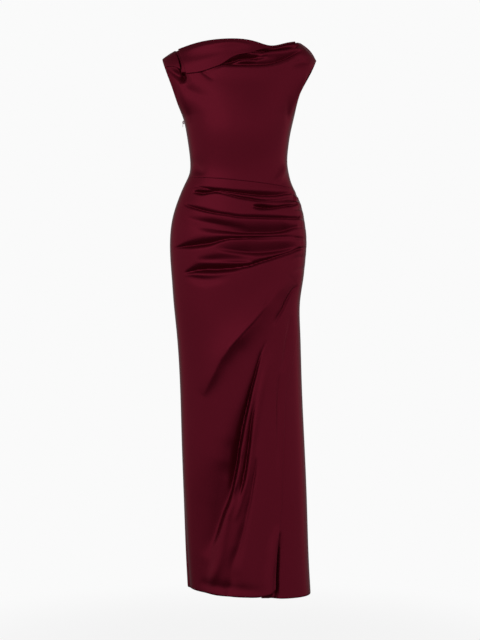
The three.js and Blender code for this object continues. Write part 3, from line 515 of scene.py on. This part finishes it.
def body_point(x, z, front):
    """The unfolded cloth at (x, z): half of a rounded section, (1 - |across|^p)^(1/p) of its depth. At the
    armholes it ends where it stands out by a bow of sin(pi rise)^0.5, and at the top it rounds over to the
    shoulder seams along a quarter circle."""
    across = np.clip(np.abs(x - middle_x(z)) / half_width(z), 0, 1)
    rise = np.clip((z - ARMHOLE["bottom"]) / (ARMHOLE["top"] - ARMHOLE["bottom"]), 0, 1)
    bow = ARMHOLE["front_bow" if front else "back_bow"] * np.sin(np.pi * rise).clip(0)**0.5
    depth = section["front" if front else "back"](z)
    opened = depth * (1 - across**BODY_POWER * (1 - (bow / depth)**BODY_POWER))**(1 / BODY_POWER)
    edge = NECK["front_depth" if front else "back_depth"] * neck_run(x)
    below = np.clip((top_z(x, front) - z) / SHOULDER_ROUNDING, 0, 1)
    eased = below * (2 - below)
    settled = lerp(np.sqrt(eased), eased, smoothstep(neck_run(x) / NECK["eased_within"]))
    out = edge + (opened - edge) * settled
    return np.stack([x, -out if front else out, z], -1)


def unit(vectors):
    return vectors / np.maximum(np.linalg.norm(vectors, axis=-1, keepdims=True), 1e-12)


def field_normal(x, z, front, field=body_point):
    """The outward normal of a height field, from small steps in x and down z."""
    step = 0.05
    along_x = field(x + step, z, front) - field(x - step, z, front)
    up_z = field(x, z, front) - field(x, z - step, front)
    normal = unit(np.cross(along_x, up_z))
    return normal if front else -normal


def smooth_path(points, per_span=8, samples=16):
    """A uniform Catmull-Rom curve through a fold's points, evenly spaced, with its depth and widths."""
    p = np.array(points, float)
    padded = np.vstack([p[:1], p, p[-1:]])
    t = np.linspace(0, 1, samples, endpoint=False)[:, None]
    spans = []
    for i in range(len(p) - 1):
        p0, p1, p2, p3 = padded[i:i + 4]
        m1, m2 = (p2 - p0) / 2, (p3 - p1) / 2
        spans.append((2 * t**3 - 3 * t**2 + 1) * p1 + (t**3 - 2 * t**2 + t) * m1
                     + (3 * t**2 - 2 * t**3) * p2 + (t**3 - t**2) * m2)
    curve = np.vstack(spans + [p[-1:]])
    run = np.concatenate([[0], np.cumsum(np.linalg.norm(np.diff(curve[:, :2], axis=0), axis=1))])
    even = np.linspace(0, run[-1], per_span * (len(p) - 1) + 1)
    return np.stack([np.interp(even, run, curve[:, k]) for k in range(p.shape[1])], -1)


def fold_push(fold, x, z):
    """How far one fold pushes the cloth out: -depth * exp(-(distance / width)^power). The depth changes
    along the path, and the width and power differ between its upper or left side and the other side."""
    _, upper_power, lower_power, points = fold
    line = smooth_path(points)
    reach = FOLD_REACH * line[:, 3:].max()
    low, high = line[:, :2].min(0) - reach, line[:, :2].max(0) + reach
    near = (x > low[0]) & (x < high[0]) & (z > low[1]) & (z < high[1])
    push = np.zeros_like(x)
    if not near.any():
        return push
    px, pz = x[near][:, None], z[near][:, None]
    start, run = line[:-1, :2], np.diff(line[:, :2], axis=0)
    length = np.linalg.norm(run, axis=1)
    away_x, away_z = px - start[:, 0], pz - start[:, 1]
    t = np.clip((away_x * run[:, 0] + away_z * run[:, 1]) / length**2, 0, 1)
    distance = np.hypot(away_x - run[:, 0] * t, away_z - run[:, 1] * t)
    best = distance.argmin(1)
    row = np.arange(len(best))
    handed = run[best, 0] * away_z[row, best] - run[best, 1] * away_x[row, best]
    here = lerp(line[best], line[best + 1], t[row, best][:, None])
    width = np.where(handed > 0, here[:, 3], here[:, 4])
    power = np.where(handed > 0, upper_power, lower_power)
    push[near] = -here[:, 2] * np.exp(-(distance[row, best] / width)**power)
    return push


def sum_folds(folds, x, z):
    """The push of all the folds of a table."""
    return sum((fold_push(fold, x, z) for fold in folds), np.zeros_like(x))


def seam_distances(x, z, front):
    """How far (x, z) is, round the body, from the right and the left side seam."""
    across = np.clip(np.abs(x - middle_x(z)) / half_width(z), 0, 1)
    angle = np.arccos(across**(BODY_POWER / 2))
    to_right = np.where(x < middle_x(z), angle, np.pi - angle)
    lead = -seam_lead(z) if front else seam_lead(z)
    return to_right * half_width(z), (np.pi + lead - to_right) * half_width(z)


def seam_hold(x, z, front):
    """Folds die out at the seams that hold them."""
    to_right, to_left = seam_distances(x, z, front)
    left = HOLD["front_left" if front else "back_left"]
    sides = smoothstep(to_right / HOLD["right"]) * smoothstep(to_left / left)
    return sides * smoothstep(np.abs(waist_z(x) - z) / HOLD["waist"])


def under_flap(x, z, push):
    """0 under the front fold-over, where the cloth lies flat, and 1 below it. Valleys run on under its edge,
    and are free beside it at the wearer's right."""
    under = UNDER_FLAP
    edge = top_z(x, True) - NECK["edge_drop"] - flap_drop(x)
    ridge = smoothstep((edge - under["ridge_drop"] - z) / under["ridge_fade"])
    start = np.minimum(edge + under["valley_rise"], top_z(x, True) - under["valley_top"])
    valley = smoothstep((start - z) / under["valley_fade"])
    valley = np.maximum(valley, smoothstep((under["free_right_of"] - x) / under["free_fade"]))
    return np.where(push > 0, ridge, valley)


def pucker_push(x, z):
    """The push of the left side seam's puckers, which fade out at the waist."""
    return sum_folds(PUCKERS, x, z) * smoothstep((waist_z(x) - z) / HOLD["waist"])


def fold_at(x, z, front):
    """The push of all the folds at (x, z), held down at the seams and under the fold-over."""
    if front:
        push = np.where(z > waist_z(x), sum_folds(BODICE_FOLDS, x, z), sum_folds(SKIRT_FOLDS, x, z))
    else:
        push = sum_folds(BACK_FOLDS, x, z)
    open_above = smoothstep((z - ARMHOLE["bottom"]) / HOLD["armhole"])
    hold = lerp(seam_hold(x, z, front), 1, open_above)
    if not front:
        return push * hold
    shoulder = smoothstep((top_z(x, True) - z) / HOLD["shoulder"])
    free = under_flap(x, z, push) * lerp(SHOULDER_SHARE, 1, shoulder)
    hold = hold * np.where(z > ARMHOLE["bottom"], free, 1)
    return push * hold + pucker_push(x, z)


def past_side_point(x, z):
    """The back pieces' cloth in front of the side, which only the puckers of the left side seam reach."""
    return body_point(x, z, True) + field_normal(x, z, True) * pucker_push(x, z)[..., None]


def lap_lift(x, z):
    """How far the skirt front is lifted over the side panel, next to its free edge."""
    near_edge = 1 - smoothstep((lap_edge_x(z) - x - LAP["cover"]) / LAP["fade"])
    lifting = smoothstep((LAP["lift_from"] - z) / (LAP["lift_from"] - LAP["fully_lifted"]))
    return (LAYER_STEP + LAP["clear"]) * near_edge * lifting


def cloth_point(x, z, front, lift=0.0):
    """The folded cloth: the body's point moved out along its normal."""
    out = fold_at(x, z, front) + lift
    return body_point(x, z, front) + field_normal(x, z, front) * out[..., None]


def across_at(angle):
    """The fraction of the half width at an angle round the section, 0 being the wearer's left side."""
    return np.sign(np.cos(angle)) * np.abs(np.cos(angle))**(2 / BODY_POWER)


def settle(angle_at, low_z, high_z, v, rounds=8):
    """x and z of panel points at height fraction v between two edges whose heights depend on x."""
    z = lerp(low_z(0.0), high_z(0.0), v)
    x = np.zeros_like(z)
    for _ in range(rounds):
        x = middle_x(z) + half_width(z) * across_at(angle_at(z))
        z = lerp(low_z(x), high_z(x), v)
    return x, z


def grid(columns, rows, edge=0.0015):
    """u and v over a panel, with an extra line just inside each edge for its rounding."""
    def line(count):
        inner = np.linspace(0, 1, count + 1)[1:-1]
        return np.concatenate([[0, edge], inner, [1 - edge, 1]])
    return np.meshgrid(line(columns), line(rows))


def bodice_points(u, s, front, rounds=10):
    """A bodice piece from the waist seam to the shoulders and neckline, with closer rows at the top:
    v = 1 - (1 - s)^1.5."""
    v = 1 - (1 - s)**1.5
    z = lerp(WAIST["z"], 0.0, v) + 0 * u
    for _ in range(rounds):
        lead = seam_lead(z)
        angle = np.pi + u * (np.pi - lead) if front else -lead + u * (np.pi + lead)
        crown = middle_x(ARMHOLE["top"]) + half_width(ARMHOLE["top"]) * across_at(angle)
        lowered = NECK["edge_drop"] * smoothstep(neck_run(crown) / NECK["dropped_within"])
        x = middle_x(z) + half_width(z) * across_at(angle)
        z = lerp(waist_z(x), top_z(crown, front) - lowered, v)
    if front:
        return cloth_point(x, z, True)
    return np.where((angle < 0)[..., None], past_side_point(x, z), cloth_point(x, z, False))


def towards_hip(s):
    """Height fractions with closer rows at the hip: 1 - 0.45 (1 - s) - 0.55 (1 - s)^3."""
    return 1 - (0.45 * (1 - s) + 0.55 * (1 - s)**3)


def lap_angle(z):
    """The angle round the section of the skirt front's free edge."""
    across = np.clip((lap_edge_x(z) - middle_x(z)) / half_width(z), 0, 1)
    return 2 * np.pi - np.arccos(across**(BODY_POWER / 2))


def left_seam_angle(z):
    """The angle round the section of the wearer's left side seam."""
    return 2 * np.pi - seam_lead(z)


def skirt_front_points(u, s):
    """The skirt front from the right side seam to the left one, and below the hip to its free edge, whose
    corner at the hem is cut away: rise * exp(-across (1 - u)) * exp(-up s)."""
    def angle(z):
        edge = np.where(z > LAP["top"], left_seam_angle(z), np.minimum(left_seam_angle(z), lap_angle(z)))
        return lerp(np.pi, edge, u)
    x, z = settle(angle, hem_z, waist_z, towards_hip(s))
    corner = HEM_CORNER["rise"] * np.exp(-(1 - u) * HEM_CORNER["across"]) * np.exp(-s * HEM_CORNER["up"])
    z = z + corner * smoothstep(1.5 - s * 10)
    return cloth_point(x, z, True, lap_lift(x, z))


def skirt_back_points(u, s):
    """The skirt back from the left side seam, round the back, to the right one."""
    def angle(z):
        return lerp(-seam_lead(z), np.pi, u)
    x, z = settle(angle, hem_z, waist_z, towards_hip(s))
    return np.where((angle(z) < 0)[..., None], past_side_point(x, z), cloth_point(x, z, False))


def side_panel_points(u, s):
    """The side panel from under the skirt front's free edge to the left side seam."""
    def angle(z):
        under = lap_angle(z) - PANEL["cover"] / half_width(z)
        return lerp(np.minimum(under, left_seam_angle(z) - PANEL["least_angle"]), left_seam_angle(z), u)
    x, z = settle(angle, hem_z, lambda x: PANEL["top"] + 0 * x, s)
    return cloth_point(x, z, True, sum_folds(PANEL_FOLDS, x, z))


def flap_points(u, s):
    """The front fold-over: half a turn of small radius over the neckline's edge, then down the outside."""
    turned = FLAP["turned"]
    top_x = lerp(FLAP["right"], FLAP["left"], u)
    roll = lerp(FLAP["roll"], FLAP["left_roll"], smoothstep(u * 2 - 0.9))
    edge_z = top_z(top_x, True) - NECK["edge_drop"]
    edge = body_point(top_x, edge_z, True)
    out = field_normal(top_x, edge_z, True)
    up = unit(edge - body_point(top_x, edge_z - 1, True))
    turn = (np.pi * np.clip(s / turned, 0, 1))[..., None]
    rolled = edge + up * FLAP["lift"] + roll[..., None] * (up * np.sin(turn) - out * np.cos(turn))
    hang = np.clip((s - turned) / (1 - turned), 0, 1)
    drop = np.maximum(FLAP["least_drop"], flap_drop(top_x)) * hang
    x = top_x + FLAP["lean"] * hang * (1 - u)**3
    z = top_z(x, True) - NECK["edge_drop"] - drop
    offset = lerp(roll, LAYER_STEP + FLAP["clear"], smoothstep(drop / FLAP["settled"]))
    offset = offset + sum_folds(FLAP_FOLDS, x, z) * smoothstep(drop / FLAP["fold_fade"])
    hanging = body_point(x, z, True) + field_normal(x, z, True) * offset[..., None]
    return np.where((s < turned)[..., None], rolled, hanging)


def collar_points(u, s):
    """The back fold-over: from in front of the right shoulder, over it and along the back neckline."""
    row = u * (len(COLLAR["row"]) - 1)
    on_front = row < COLLAR_SEAM_ROW
    inner_turn = np.where(on_front, np.minimum(0, collar["inner_turn"](row)), 0)
    turn = np.radians(lerp(collar["outer_turn"](row), inner_turn, s))
    x = lerp(collar["outer_x"](row), collar["inner_x"](row), s)
    drop = SHOULDER_ROUNDING * (1 - np.cos(turn))
    sides = []
    for front in (True, False):
        z = top_z(x, front) - drop
        sides.append(body_point(x, z, front) + field_normal(x, z, front) * (LAYER_STEP + COLLAR_CLEAR))
    return np.where(on_front[..., None], sides[0], sides[1])


def placed(name, data):
    """A new object for a mesh, light or camera, linked to the scene at the origin."""
    thing = bpy.data.objects.new(name, data)
    bpy.context.scene.collection.objects.link(thing)
    return thing


def cloth_object(name, points, node, keep=None, hemmed=False):
    """A closed shell of even thickness round a grid of points. Its inner face has half as many rows and
    columns, and both faces draw together at the rim, so that edges are round."""
    rows, columns = points.shape[:2]
    out = unit(np.cross(np.gradient(points, axis=1), np.gradient(points, axis=0)))
    half = np.full((rows, columns, 1), WALL / 2)
    half[[0, -1]] *= RIM_SHARE
    half[:, [0, -1]] *= RIM_SHARE
    outer = points + out * half
    inner = (points - out * half)[::2, ::2]
    shell = np.concatenate([outer.reshape(-1, 3), inner.reshape(-1, 3)])
    if keep is not None:
        shell = keep(shell)

    def quads(index):
        corners = (index[:-1, :-1], index[:-1, 1:], index[1:, 1:], index[1:, :-1])
        return np.stack(corners, -1).reshape(-1, 4)

    def border(index):
        return np.concatenate([index[0, :-1], index[:-1, -1], index[-1, :0:-1], index[:0:-1, 0]])

    on_outer = np.arange(rows * columns).reshape(rows, columns)
    on_inner = np.arange(inner.size // 3).reshape(inner.shape[:2]) + rows * columns
    ring, ring_in = border(on_outer), border(on_inner)
    first, middle, last = ring[::2], ring[1::2], np.roll(ring[::2], -1)
    last_in = np.roll(ring_in, -1)
    rim = np.concatenate([
        np.stack([middle, first, ring_in], -1),
        np.stack([middle, ring_in, last_in], -1),
        np.stack([last, middle, last_in], -1),
    ])
    faces = quads(on_outer).tolist() + quads(on_inner)[:, ::-1].tolist() + rim.tolist()
    mesh = bpy.data.meshes.new(name)
    mesh.from_pydata((shell * MM).tolist(), [], faces)
    # The cloth's own coordinates, in metres along its threads
    run_u = np.cumsum(np.linalg.norm(np.diff(points, axis=1, prepend=points[:, :1]), axis=2), axis=1)
    run_v = np.cumsum(np.linalg.norm(np.diff(points, axis=0, prepend=points[:1]), axis=2), axis=0)
    run_u -= run_u[:, columns // 2:columns // 2 + 1]
    flat = np.stack([run_u, run_v], -1) * MM
    flat = np.concatenate([flat.reshape(-1, 2), flat[::2, ::2].reshape(-1, 2)])
    corner = np.empty(len(mesh.loops), np.int32)
    mesh.loops.foreach_get("vertex_index", corner)
    layer = mesh.uv_layers.new(name="cloth")
    layer.data.foreach_set("uv", flat[corner].reshape(-1).astype(np.float32))
    mesh.polygons.foreach_set("use_smooth", np.ones(len(faces), bool))
    mesh.update()
    mesh.materials.append(satin_material(hemmed))
    piece = placed(name, mesh)
    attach(piece, "dress")
    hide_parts(node)
    return piece


def zip_coil():
    """The closed side zip's teeth: a row of small blocks along the right side seam, at an even pitch."""
    z = np.arange(COIL["bottom"], COIL["top"], COIL["pitch"], dtype=float)
    corners = np.array([(x, y, h) for x in (-0.5, 0.5) for y in (-0.5, 0.5) for h in (-0.5, 0.5)])
    middles = np.stack([section["right"](z) - COIL["out"], 0 * z, z], -1)
    blocks = middles[:, None] + corners * COIL["tooth"]
    sides = np.array([(0, 1, 3, 2), (4, 6, 7, 5), (0, 4, 5, 1), (2, 3, 7, 6), (0, 2, 6, 4), (1, 5, 7, 3)])
    faces = sides + 8 * np.arange(len(z))[:, None, None]
    mesh = bpy.data.meshes.new("zip_coil")
    mesh.from_pydata((blocks.reshape(-1, 3) * MM).tolist(), [], faces.reshape(-1, 4).tolist())
    mesh.materials.append(nylon_material())
    coil = placed("zip_coil", mesh)
    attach(coil, "dress")
    return coil


def own_side(front):
    """Above the underarm, a bodice piece stays on its side of the shoulder seams."""
    def keep(shell):
        high = shell[:, 2] > ARMHOLE["bottom"]
        limit = np.minimum if front else np.maximum
        shell[high, 1] = limit(shell[high, 1], 0)
        return shell
    return keep


class Link:
    """A shader socket that takes Python arithmetic."""

    def __init__(self, graph, socket):
        self.graph = graph
        self.socket = socket

    def _math(self, operation, a, b):
        return self.graph.math(operation, a, b)

    def __add__(self, other):
        return self._math("ADD", self, other)

    __radd__ = __add__

    def __mul__(self, other):
        return self._math("MULTIPLY", self, other)

    __rmul__ = __mul__

    def __sub__(self, other):
        return self._math("SUBTRACT", self, other)

    def __rsub__(self, other):
        return self._math("SUBTRACT", other, self)


class Placed:
    """A node in a graph, whose outputs are read by name."""

    def __init__(self, graph, node):
        self.graph = graph
        self.node = node

    def out(self, name):
        return Link(self.graph, self.node.outputs[name])

    def first(self):
        return Link(self.graph, next(s for s in self.node.outputs if s.enabled))


class Graph:
    """The node tree of a material or world."""

    def __init__(self, owner):
        self.owner = owner
        self.owner.use_nodes = True
        self.tree = self.owner.node_tree
        self.tree.nodes.clear()

    def node(self, kind, settings=None, inputs=None):
        """A node of that type: its settings first, then values or links for its inputs, by name or order."""
        node = self.tree.nodes.new(kind)
        for key, value in (settings or {}).items():
            setattr(node, key, value)
        pairs = inputs.items() if isinstance(inputs, dict) else enumerate(inputs or [])
        for key, value in pairs:
            socket = node.inputs[key]
            if isinstance(value, Link):
                self.tree.links.new(value.socket, socket)
            else:
                socket.default_value = value
        return Placed(self, node)

    def math(self, operation, *values):
        return self.node("ShaderNodeMath", {"operation": operation}, values).first()

    def noise(self, place, scale, detail):
        """Noise from 0 to 1 at a place."""
        values = {"Vector": place, "Scale": scale, "Detail": detail}
        return self.node("ShaderNodeTexNoise", None, values).out("Fac")

    def eased(self, value, low, high, at_low, at_high):
        """A smooth step from one value to another."""
        values = {"Value": value, "From Min": low, "From Max": high, "To Min": at_low, "To Max": at_high}
        return self.node("ShaderNodeMapRange", {"interpolation_type": "SMOOTHSTEP"}, values).first()

    def bump(self, height, strength, distance):
        values = {"Height": height, "Strength": strength, "Distance": distance}
        return self.node("ShaderNodeBump", None, values).first()

    def finish(self, shader, output="ShaderNodeOutputMaterial"):
        self.node(output, None, {"Surface": shader})
        return self.owner


def satin_material(hemmed):
    """Satin: a deep dye with a faint long slub along the threads, and a soft broad sheen. Hemmed cloth also
    has the small dents of a blind stitch, in a row above its lower edge."""
    name = "hemmed burgundy satin" if hemmed else "burgundy satin"
    if name in bpy.data.materials:
        return bpy.data.materials[name]
    settings = bpy.context.scene.dress
    graph = Graph(bpy.data.materials.new(name))
    cloth = graph.node("ShaderNodeUVMap", {"uv_map": "cloth"}).out("UV")
    slub_at = graph.node("ShaderNodeMapping", None, {"Vector": cloth, "Scale": (900, 70, 1)}).first()
    slub = graph.noise(slub_at, 1.0, 2.0)
    thread_at = graph.node("ShaderNodeMapping", None, {"Vector": cloth, "Scale": (3500, 400, 1)}).first()
    thread = graph.noise(thread_at, 1.0, 1.0)
    drift = graph.noise(cloth, 9.0, 3.0)
    tone = 0.86 + slub * 0.12 + drift * 0.16
    dyed = graph.node("ShaderNodeVectorMath", {"operation": "SCALE"},
                      {"Vector": tuple(settings.satin_color), "Scale": tone}).first()
    rough = settings.satin_roughness - 0.04 + drift * 0.08
    height = slub * 0.5 + thread * 0.5
    if hemmed:
        place = graph.node("ShaderNodeSeparateXYZ", None, [cloth])
        along = graph.math("PINGPONG", place.out("X"), HEM_STITCH / 2)
        above = graph.math("COMPARE", place.out("Y"), HEM_DEPTH, HEM_STITCH_SIZE["height"])
        dent = graph.math("LESS_THAN", along, HEM_STITCH_SIZE["half_length"])
        height = height - dent * above * 3.0
    bump = graph.bump(height, 0.12, 0.0003)
    shader = graph.node("ShaderNodeBsdfPrincipled", None, {
        "Base Color": dyed,
        "Roughness": rough,
        "Normal": bump,
        "Metallic": settings.satin_lustre,
        "Specular IOR Level": 0.05,
        "Specular Tint": (0.42, 0.42, 0.42, 1.0),
    }).out("BSDF")
    return graph.finish(shader)


def metal_material():
    """Dark lacquered metal with fine handling marks."""
    name = "dark zip metal"
    if name in bpy.data.materials:
        return bpy.data.materials[name]
    graph = Graph(bpy.data.materials.new(name))
    place = graph.node("ShaderNodeTexCoord").out("Object")
    wear = graph.noise(place, 900.0, 3.0)
    tone = 0.8 + wear * 0.4
    color = graph.node("ShaderNodeVectorMath", {"operation": "SCALE"},
                       {"Vector": METAL_COLOR, "Scale": tone}).first()
    bump = graph.bump(wear, 0.1, 0.0001)
    shader = graph.node("ShaderNodeBsdfPrincipled", None, {
        "Base Color": color,
        "Roughness": 0.25 + wear * 0.15,
        "Normal": bump,
        "Metallic": 1.0,
    }).out("BSDF")
    return graph.finish(shader)


def nylon_material():
    """Matt nylon of the zip's teeth, dyed to the satin but a little darker."""
    graph = Graph(bpy.data.materials.new("dyed zip nylon"))
    place = graph.node("ShaderNodeTexCoord").out("Object")
    wear = graph.noise(place, 400.0, 2.0)
    tone = 0.5 + wear * 0.2
    color = graph.node("ShaderNodeVectorMath", {"operation": "SCALE"},
                       {"Vector": tuple(bpy.context.scene.dress.satin_color), "Scale": tone}).first()
    shader = graph.node("ShaderNodeBsdfPrincipled", None, {
        "Base Color": color,
        "Roughness": 0.5 + wear * 0.1,
        "Specular IOR Level": 0.2,
    }).out("BSDF")
    return graph.finish(shader)


def floor_material(pale):
    """A pale matt floor near the dress, which runs out into the even tone of the backdrop."""
    graph = Graph(bpy.data.materials.new("pale floor"))
    place = graph.node("ShaderNodeTexCoord").out("Object")
    away = graph.node("ShaderNodeVectorMath", {"operation": "LENGTH"}, [place]).out("Value")
    near = graph.eased(away, 1.65, 2.0, 0.9, 1.0)
    matt = graph.node("ShaderNodeBsdfDiffuse", None, {"Color": (*pale, 1.0)}).first()
    even = graph.node("ShaderNodeEmission", None, {"Color": (*pale, 1.0), "Strength": 1.0}).first()
    return graph.finish(graph.node("ShaderNodeMixShader", None, [near, matt, even]).first())


class DressSettings(bpy.types.PropertyGroup):
    """Sizes and finish of the dress."""
    satin_color: bpy.props.FloatVectorProperty(
        name="Satin colour", description="Dye of the satin", subtype="COLOR", size=3, min=0, max=1,
        default=(0.133, 0.0079, 0.0201))
    satin_roughness: bpy.props.FloatProperty(
        name="Satin roughness", description="Spread of the satin's highlight", default=0.36, min=0, max=1,
        subtype="FACTOR")
    satin_lustre: bpy.props.FloatProperty(
        name="Satin lustre", description="Share of the light that comes back as gloss in the dye's colour",
        default=0.65, min=0, max=1, subtype="FACTOR")


class StudioSettings(bpy.types.PropertyGroup):
    """Camera and light of the studio."""
    camera_distance: bpy.props.FloatProperty(
        name="Camera distance", description="From the plane of the side seams", default=3.8, unit="LENGTH")
    camera_height: bpy.props.FloatProperty(
        name="Camera height", description="Height of the camera in the dress's frame", default=-0.713,
        unit="LENGTH")
    frame_height: bpy.props.FloatProperty(
        name="Frame height", description="Height of the picture in the plane of the side seams",
        default=1.7088, unit="LENGTH")
    floor_drop: bpy.props.FloatProperty(
        name="Floor", description="Height of the floor in the dress's frame", default=-1.62, unit="LENGTH")
    backdrop: bpy.props.FloatVectorProperty(
        name="Backdrop colour", description="Colour of the floor and backdrop", subtype="COLOR", size=3,
        min=0, max=1, default=(0.956, 0.956, 0.956))
    room_light: bpy.props.FloatProperty(
        name="Room light", description="Even light from the upper half of the room", default=0.76, min=0)
    floor_light: bpy.props.FloatProperty(
        name="Floor light", description="Share of the room light that comes up from below",
        default=0.04, min=0, max=1, subtype="FACTOR")
    ceiling_light: bpy.props.FloatProperty(
        name="Ceiling light", description="Share of the room light that comes straight down",
        default=0.3, min=0, max=1, subtype="FACTOR")
    key_power: bpy.props.FloatProperty(
        name="Key light", description="Power of the main soft light", default=14, unit="POWER")


class DRESS_OT_bodice(bpy.types.Operator):
    """Build the bodice's front and back"""
    bl_idname = "dress.bodice"
    bl_label = "Bodice"

    def execute(self, context):
        front = cloth_object("satin_bodice_front", bodice_points(*grid(200, 170), True), "bodice_front",
                             keep=own_side(True))
        back = cloth_object("satin_bodice_back", bodice_points(*grid(120, 100), False), "bodice_back",
                            keep=own_side(False))
        return {"FINISHED"}


class DRESS_OT_neck_folds(bpy.types.Operator):
    """Build the fold-over pieces round the neck"""
    bl_idname = "dress.neck_folds"
    bl_label = "Neck fold-overs"

    def execute(self, context):
        flap = cloth_object("satin_neck_flap", flap_points(*grid(200, 60)), "neck_flap")
        back = cloth_object("satin_back_collar", collar_points(*grid(200, 30)), "back_collar")
        return {"FINISHED"}


class DRESS_OT_skirt(bpy.types.Operator):
    """Build the skirt's front, back and side panel"""
    bl_idname = "dress.skirt"
    bl_label = "Skirt"

    def execute(self, context):
        front = cloth_object("satin_skirt_front", skirt_front_points(*grid(250, 300)), "skirt_front",
                             hemmed=True)
        back = cloth_object("satin_skirt_back", skirt_back_points(*grid(200, 200)), "skirt_back",
                            hemmed=True)
        side = cloth_object("satin_side_panel", side_panel_points(*grid(50, 160)), "side_panel",
                            hemmed=True)
        return {"FINISHED"}


class DRESS_OT_zip(bpy.types.Operator):
    """Finish the slider and pull of the side zip and add its teeth"""
    bl_idname = "dress.zip"
    bl_label = "Side zip"

    def execute(self, context):
        for node in ("zip_slider", "zip_pull"):
            piece = frame["nodes"][node]
            piece.data.materials.clear()
            piece.data.materials.append(metal_material())
        zip_coil()
        return {"FINISHED"}


def soft_light(name, place, target, size, power):
    """A rectangular area light that faces a target."""
    light = bpy.data.lights.new(name, "AREA")
    light.shape = "RECTANGLE"
    light.size, light.size_y = size
    light.energy = power
    lamp = placed(name, light)
    lamp.location = place
    direction = Vector(target) - lamp.location
    lamp.rotation_euler = direction.to_track_quat("-Z", "Y").to_euler()


class DRESS_OT_studio(bpy.types.Operator):
    """Set up the floor, the even backdrop light, the soft lights and the camera"""
    bl_idname = "dress.studio"
    bl_label = "Studio"

    def execute(self, context):
        studio = context.scene.studio
        pale = tuple(studio.backdrop)
        reach = 30.0
        z = studio.floor_drop
        mesh = bpy.data.meshes.new("floor")
        corners = [(-reach, -reach, z), (reach, -reach, z), (reach, reach, z), (-reach, reach, z)]
        mesh.from_pydata(corners, [], [(0, 1, 2, 3)])
        mesh.materials.append(floor_material(pale))
        floor = placed("floor", mesh)
        floor.visible_glossy = False
        floor.visible_diffuse = False

        graph = Graph(bpy.data.worlds.new("studio"))
        place = graph.node("ShaderNodeTexCoord").out("Generated")
        height = graph.node("ShaderNodeSeparateXYZ", None, [place]).out("Z")
        level = graph.eased(height, -0.5, 0.0, studio.floor_light, 1.0)
        level = level * graph.eased(height, 0.2, 0.8, 1.0, studio.ceiling_light)
        room = {"Color": level, "Strength": studio.room_light}
        around = graph.node("ShaderNodeBackground", None, room).first()
        seen = graph.node("ShaderNodeBackground", None, {"Color": (*pale, 1.0)}).first()
        camera_ray = graph.node("ShaderNodeLightPath").out("Is Camera Ray")
        light = graph.node("ShaderNodeMixShader", None, [camera_ray, around, seen]).first()
        context.scene.world = graph.finish(light, "ShaderNodeOutputWorld")
        context.scene.view_settings.view_transform = "Standard"

        middle = (0.0, 0.0, studio.camera_height)
        power = studio.key_power
        soft_light("key", (-2.0, -3.0, 1.3), (0, 0, -0.6), (3.4, 2.8), power)
        soft_light("left strip", (-2.2, 1.4, -0.5), middle, (1.2, 2.6), power * 0.2)
        soft_light("right strip", (2.2, 1.4, -0.5), middle, (1.2, 2.6), power * 0.4)

        lens = bpy.data.cameras.new("camera")
        lens.sensor_fit = "VERTICAL"
        lens.sensor_height = 36
        lens.lens = lens.sensor_height * studio.camera_distance / studio.frame_height
        lens.clip_end = 200
        camera = placed("camera", lens)
        camera.location = (0.004, -studio.camera_distance, studio.camera_height)
        camera.rotation_euler = (math.pi / 2, 0, 0)
        context.scene.camera = camera
        return {"FINISHED"}


class DRESS_PT_panel(bpy.types.Panel):
    """The dress's builders"""
    bl_label = "Satin dress"
    bl_idname = "DRESS_PT_panel"
    bl_space_type = "VIEW_3D"
    bl_region_type = "UI"
    bl_category = "Dress"

    def draw(self, context):
        layout = self.layout
        for name in DressSettings.__annotations__:
            layout.prop(context.scene.dress, name)
        for name in StudioSettings.__annotations__:
            layout.prop(context.scene.studio, name)
        for operator in BUILDERS:
            layout.operator(operator.bl_idname)


BUILDERS = (DRESS_OT_studio, DRESS_OT_bodice, DRESS_OT_neck_folds, DRESS_OT_skirt, DRESS_OT_zip)
CLASSES = (DressSettings, StudioSettings, *BUILDERS, DRESS_PT_panel)


def register():
    for cls in CLASSES:
        bpy.utils.register_class(cls)
    bpy.types.Scene.dress = bpy.props.PointerProperty(type=DressSettings)
    bpy.types.Scene.studio = bpy.props.PointerProperty(type=StudioSettings)


def unregister():
    del bpy.types.Scene.studio
    del bpy.types.Scene.dress
    for cls in reversed(CLASSES):
        bpy.utils.unregister_class(cls)


def main():
    register()
    for builder in BUILDERS:
        group, name = builder.bl_idname.split(".")
        getattr(getattr(bpy.ops, group), name)()


if __name__ == "__main__":
    main()
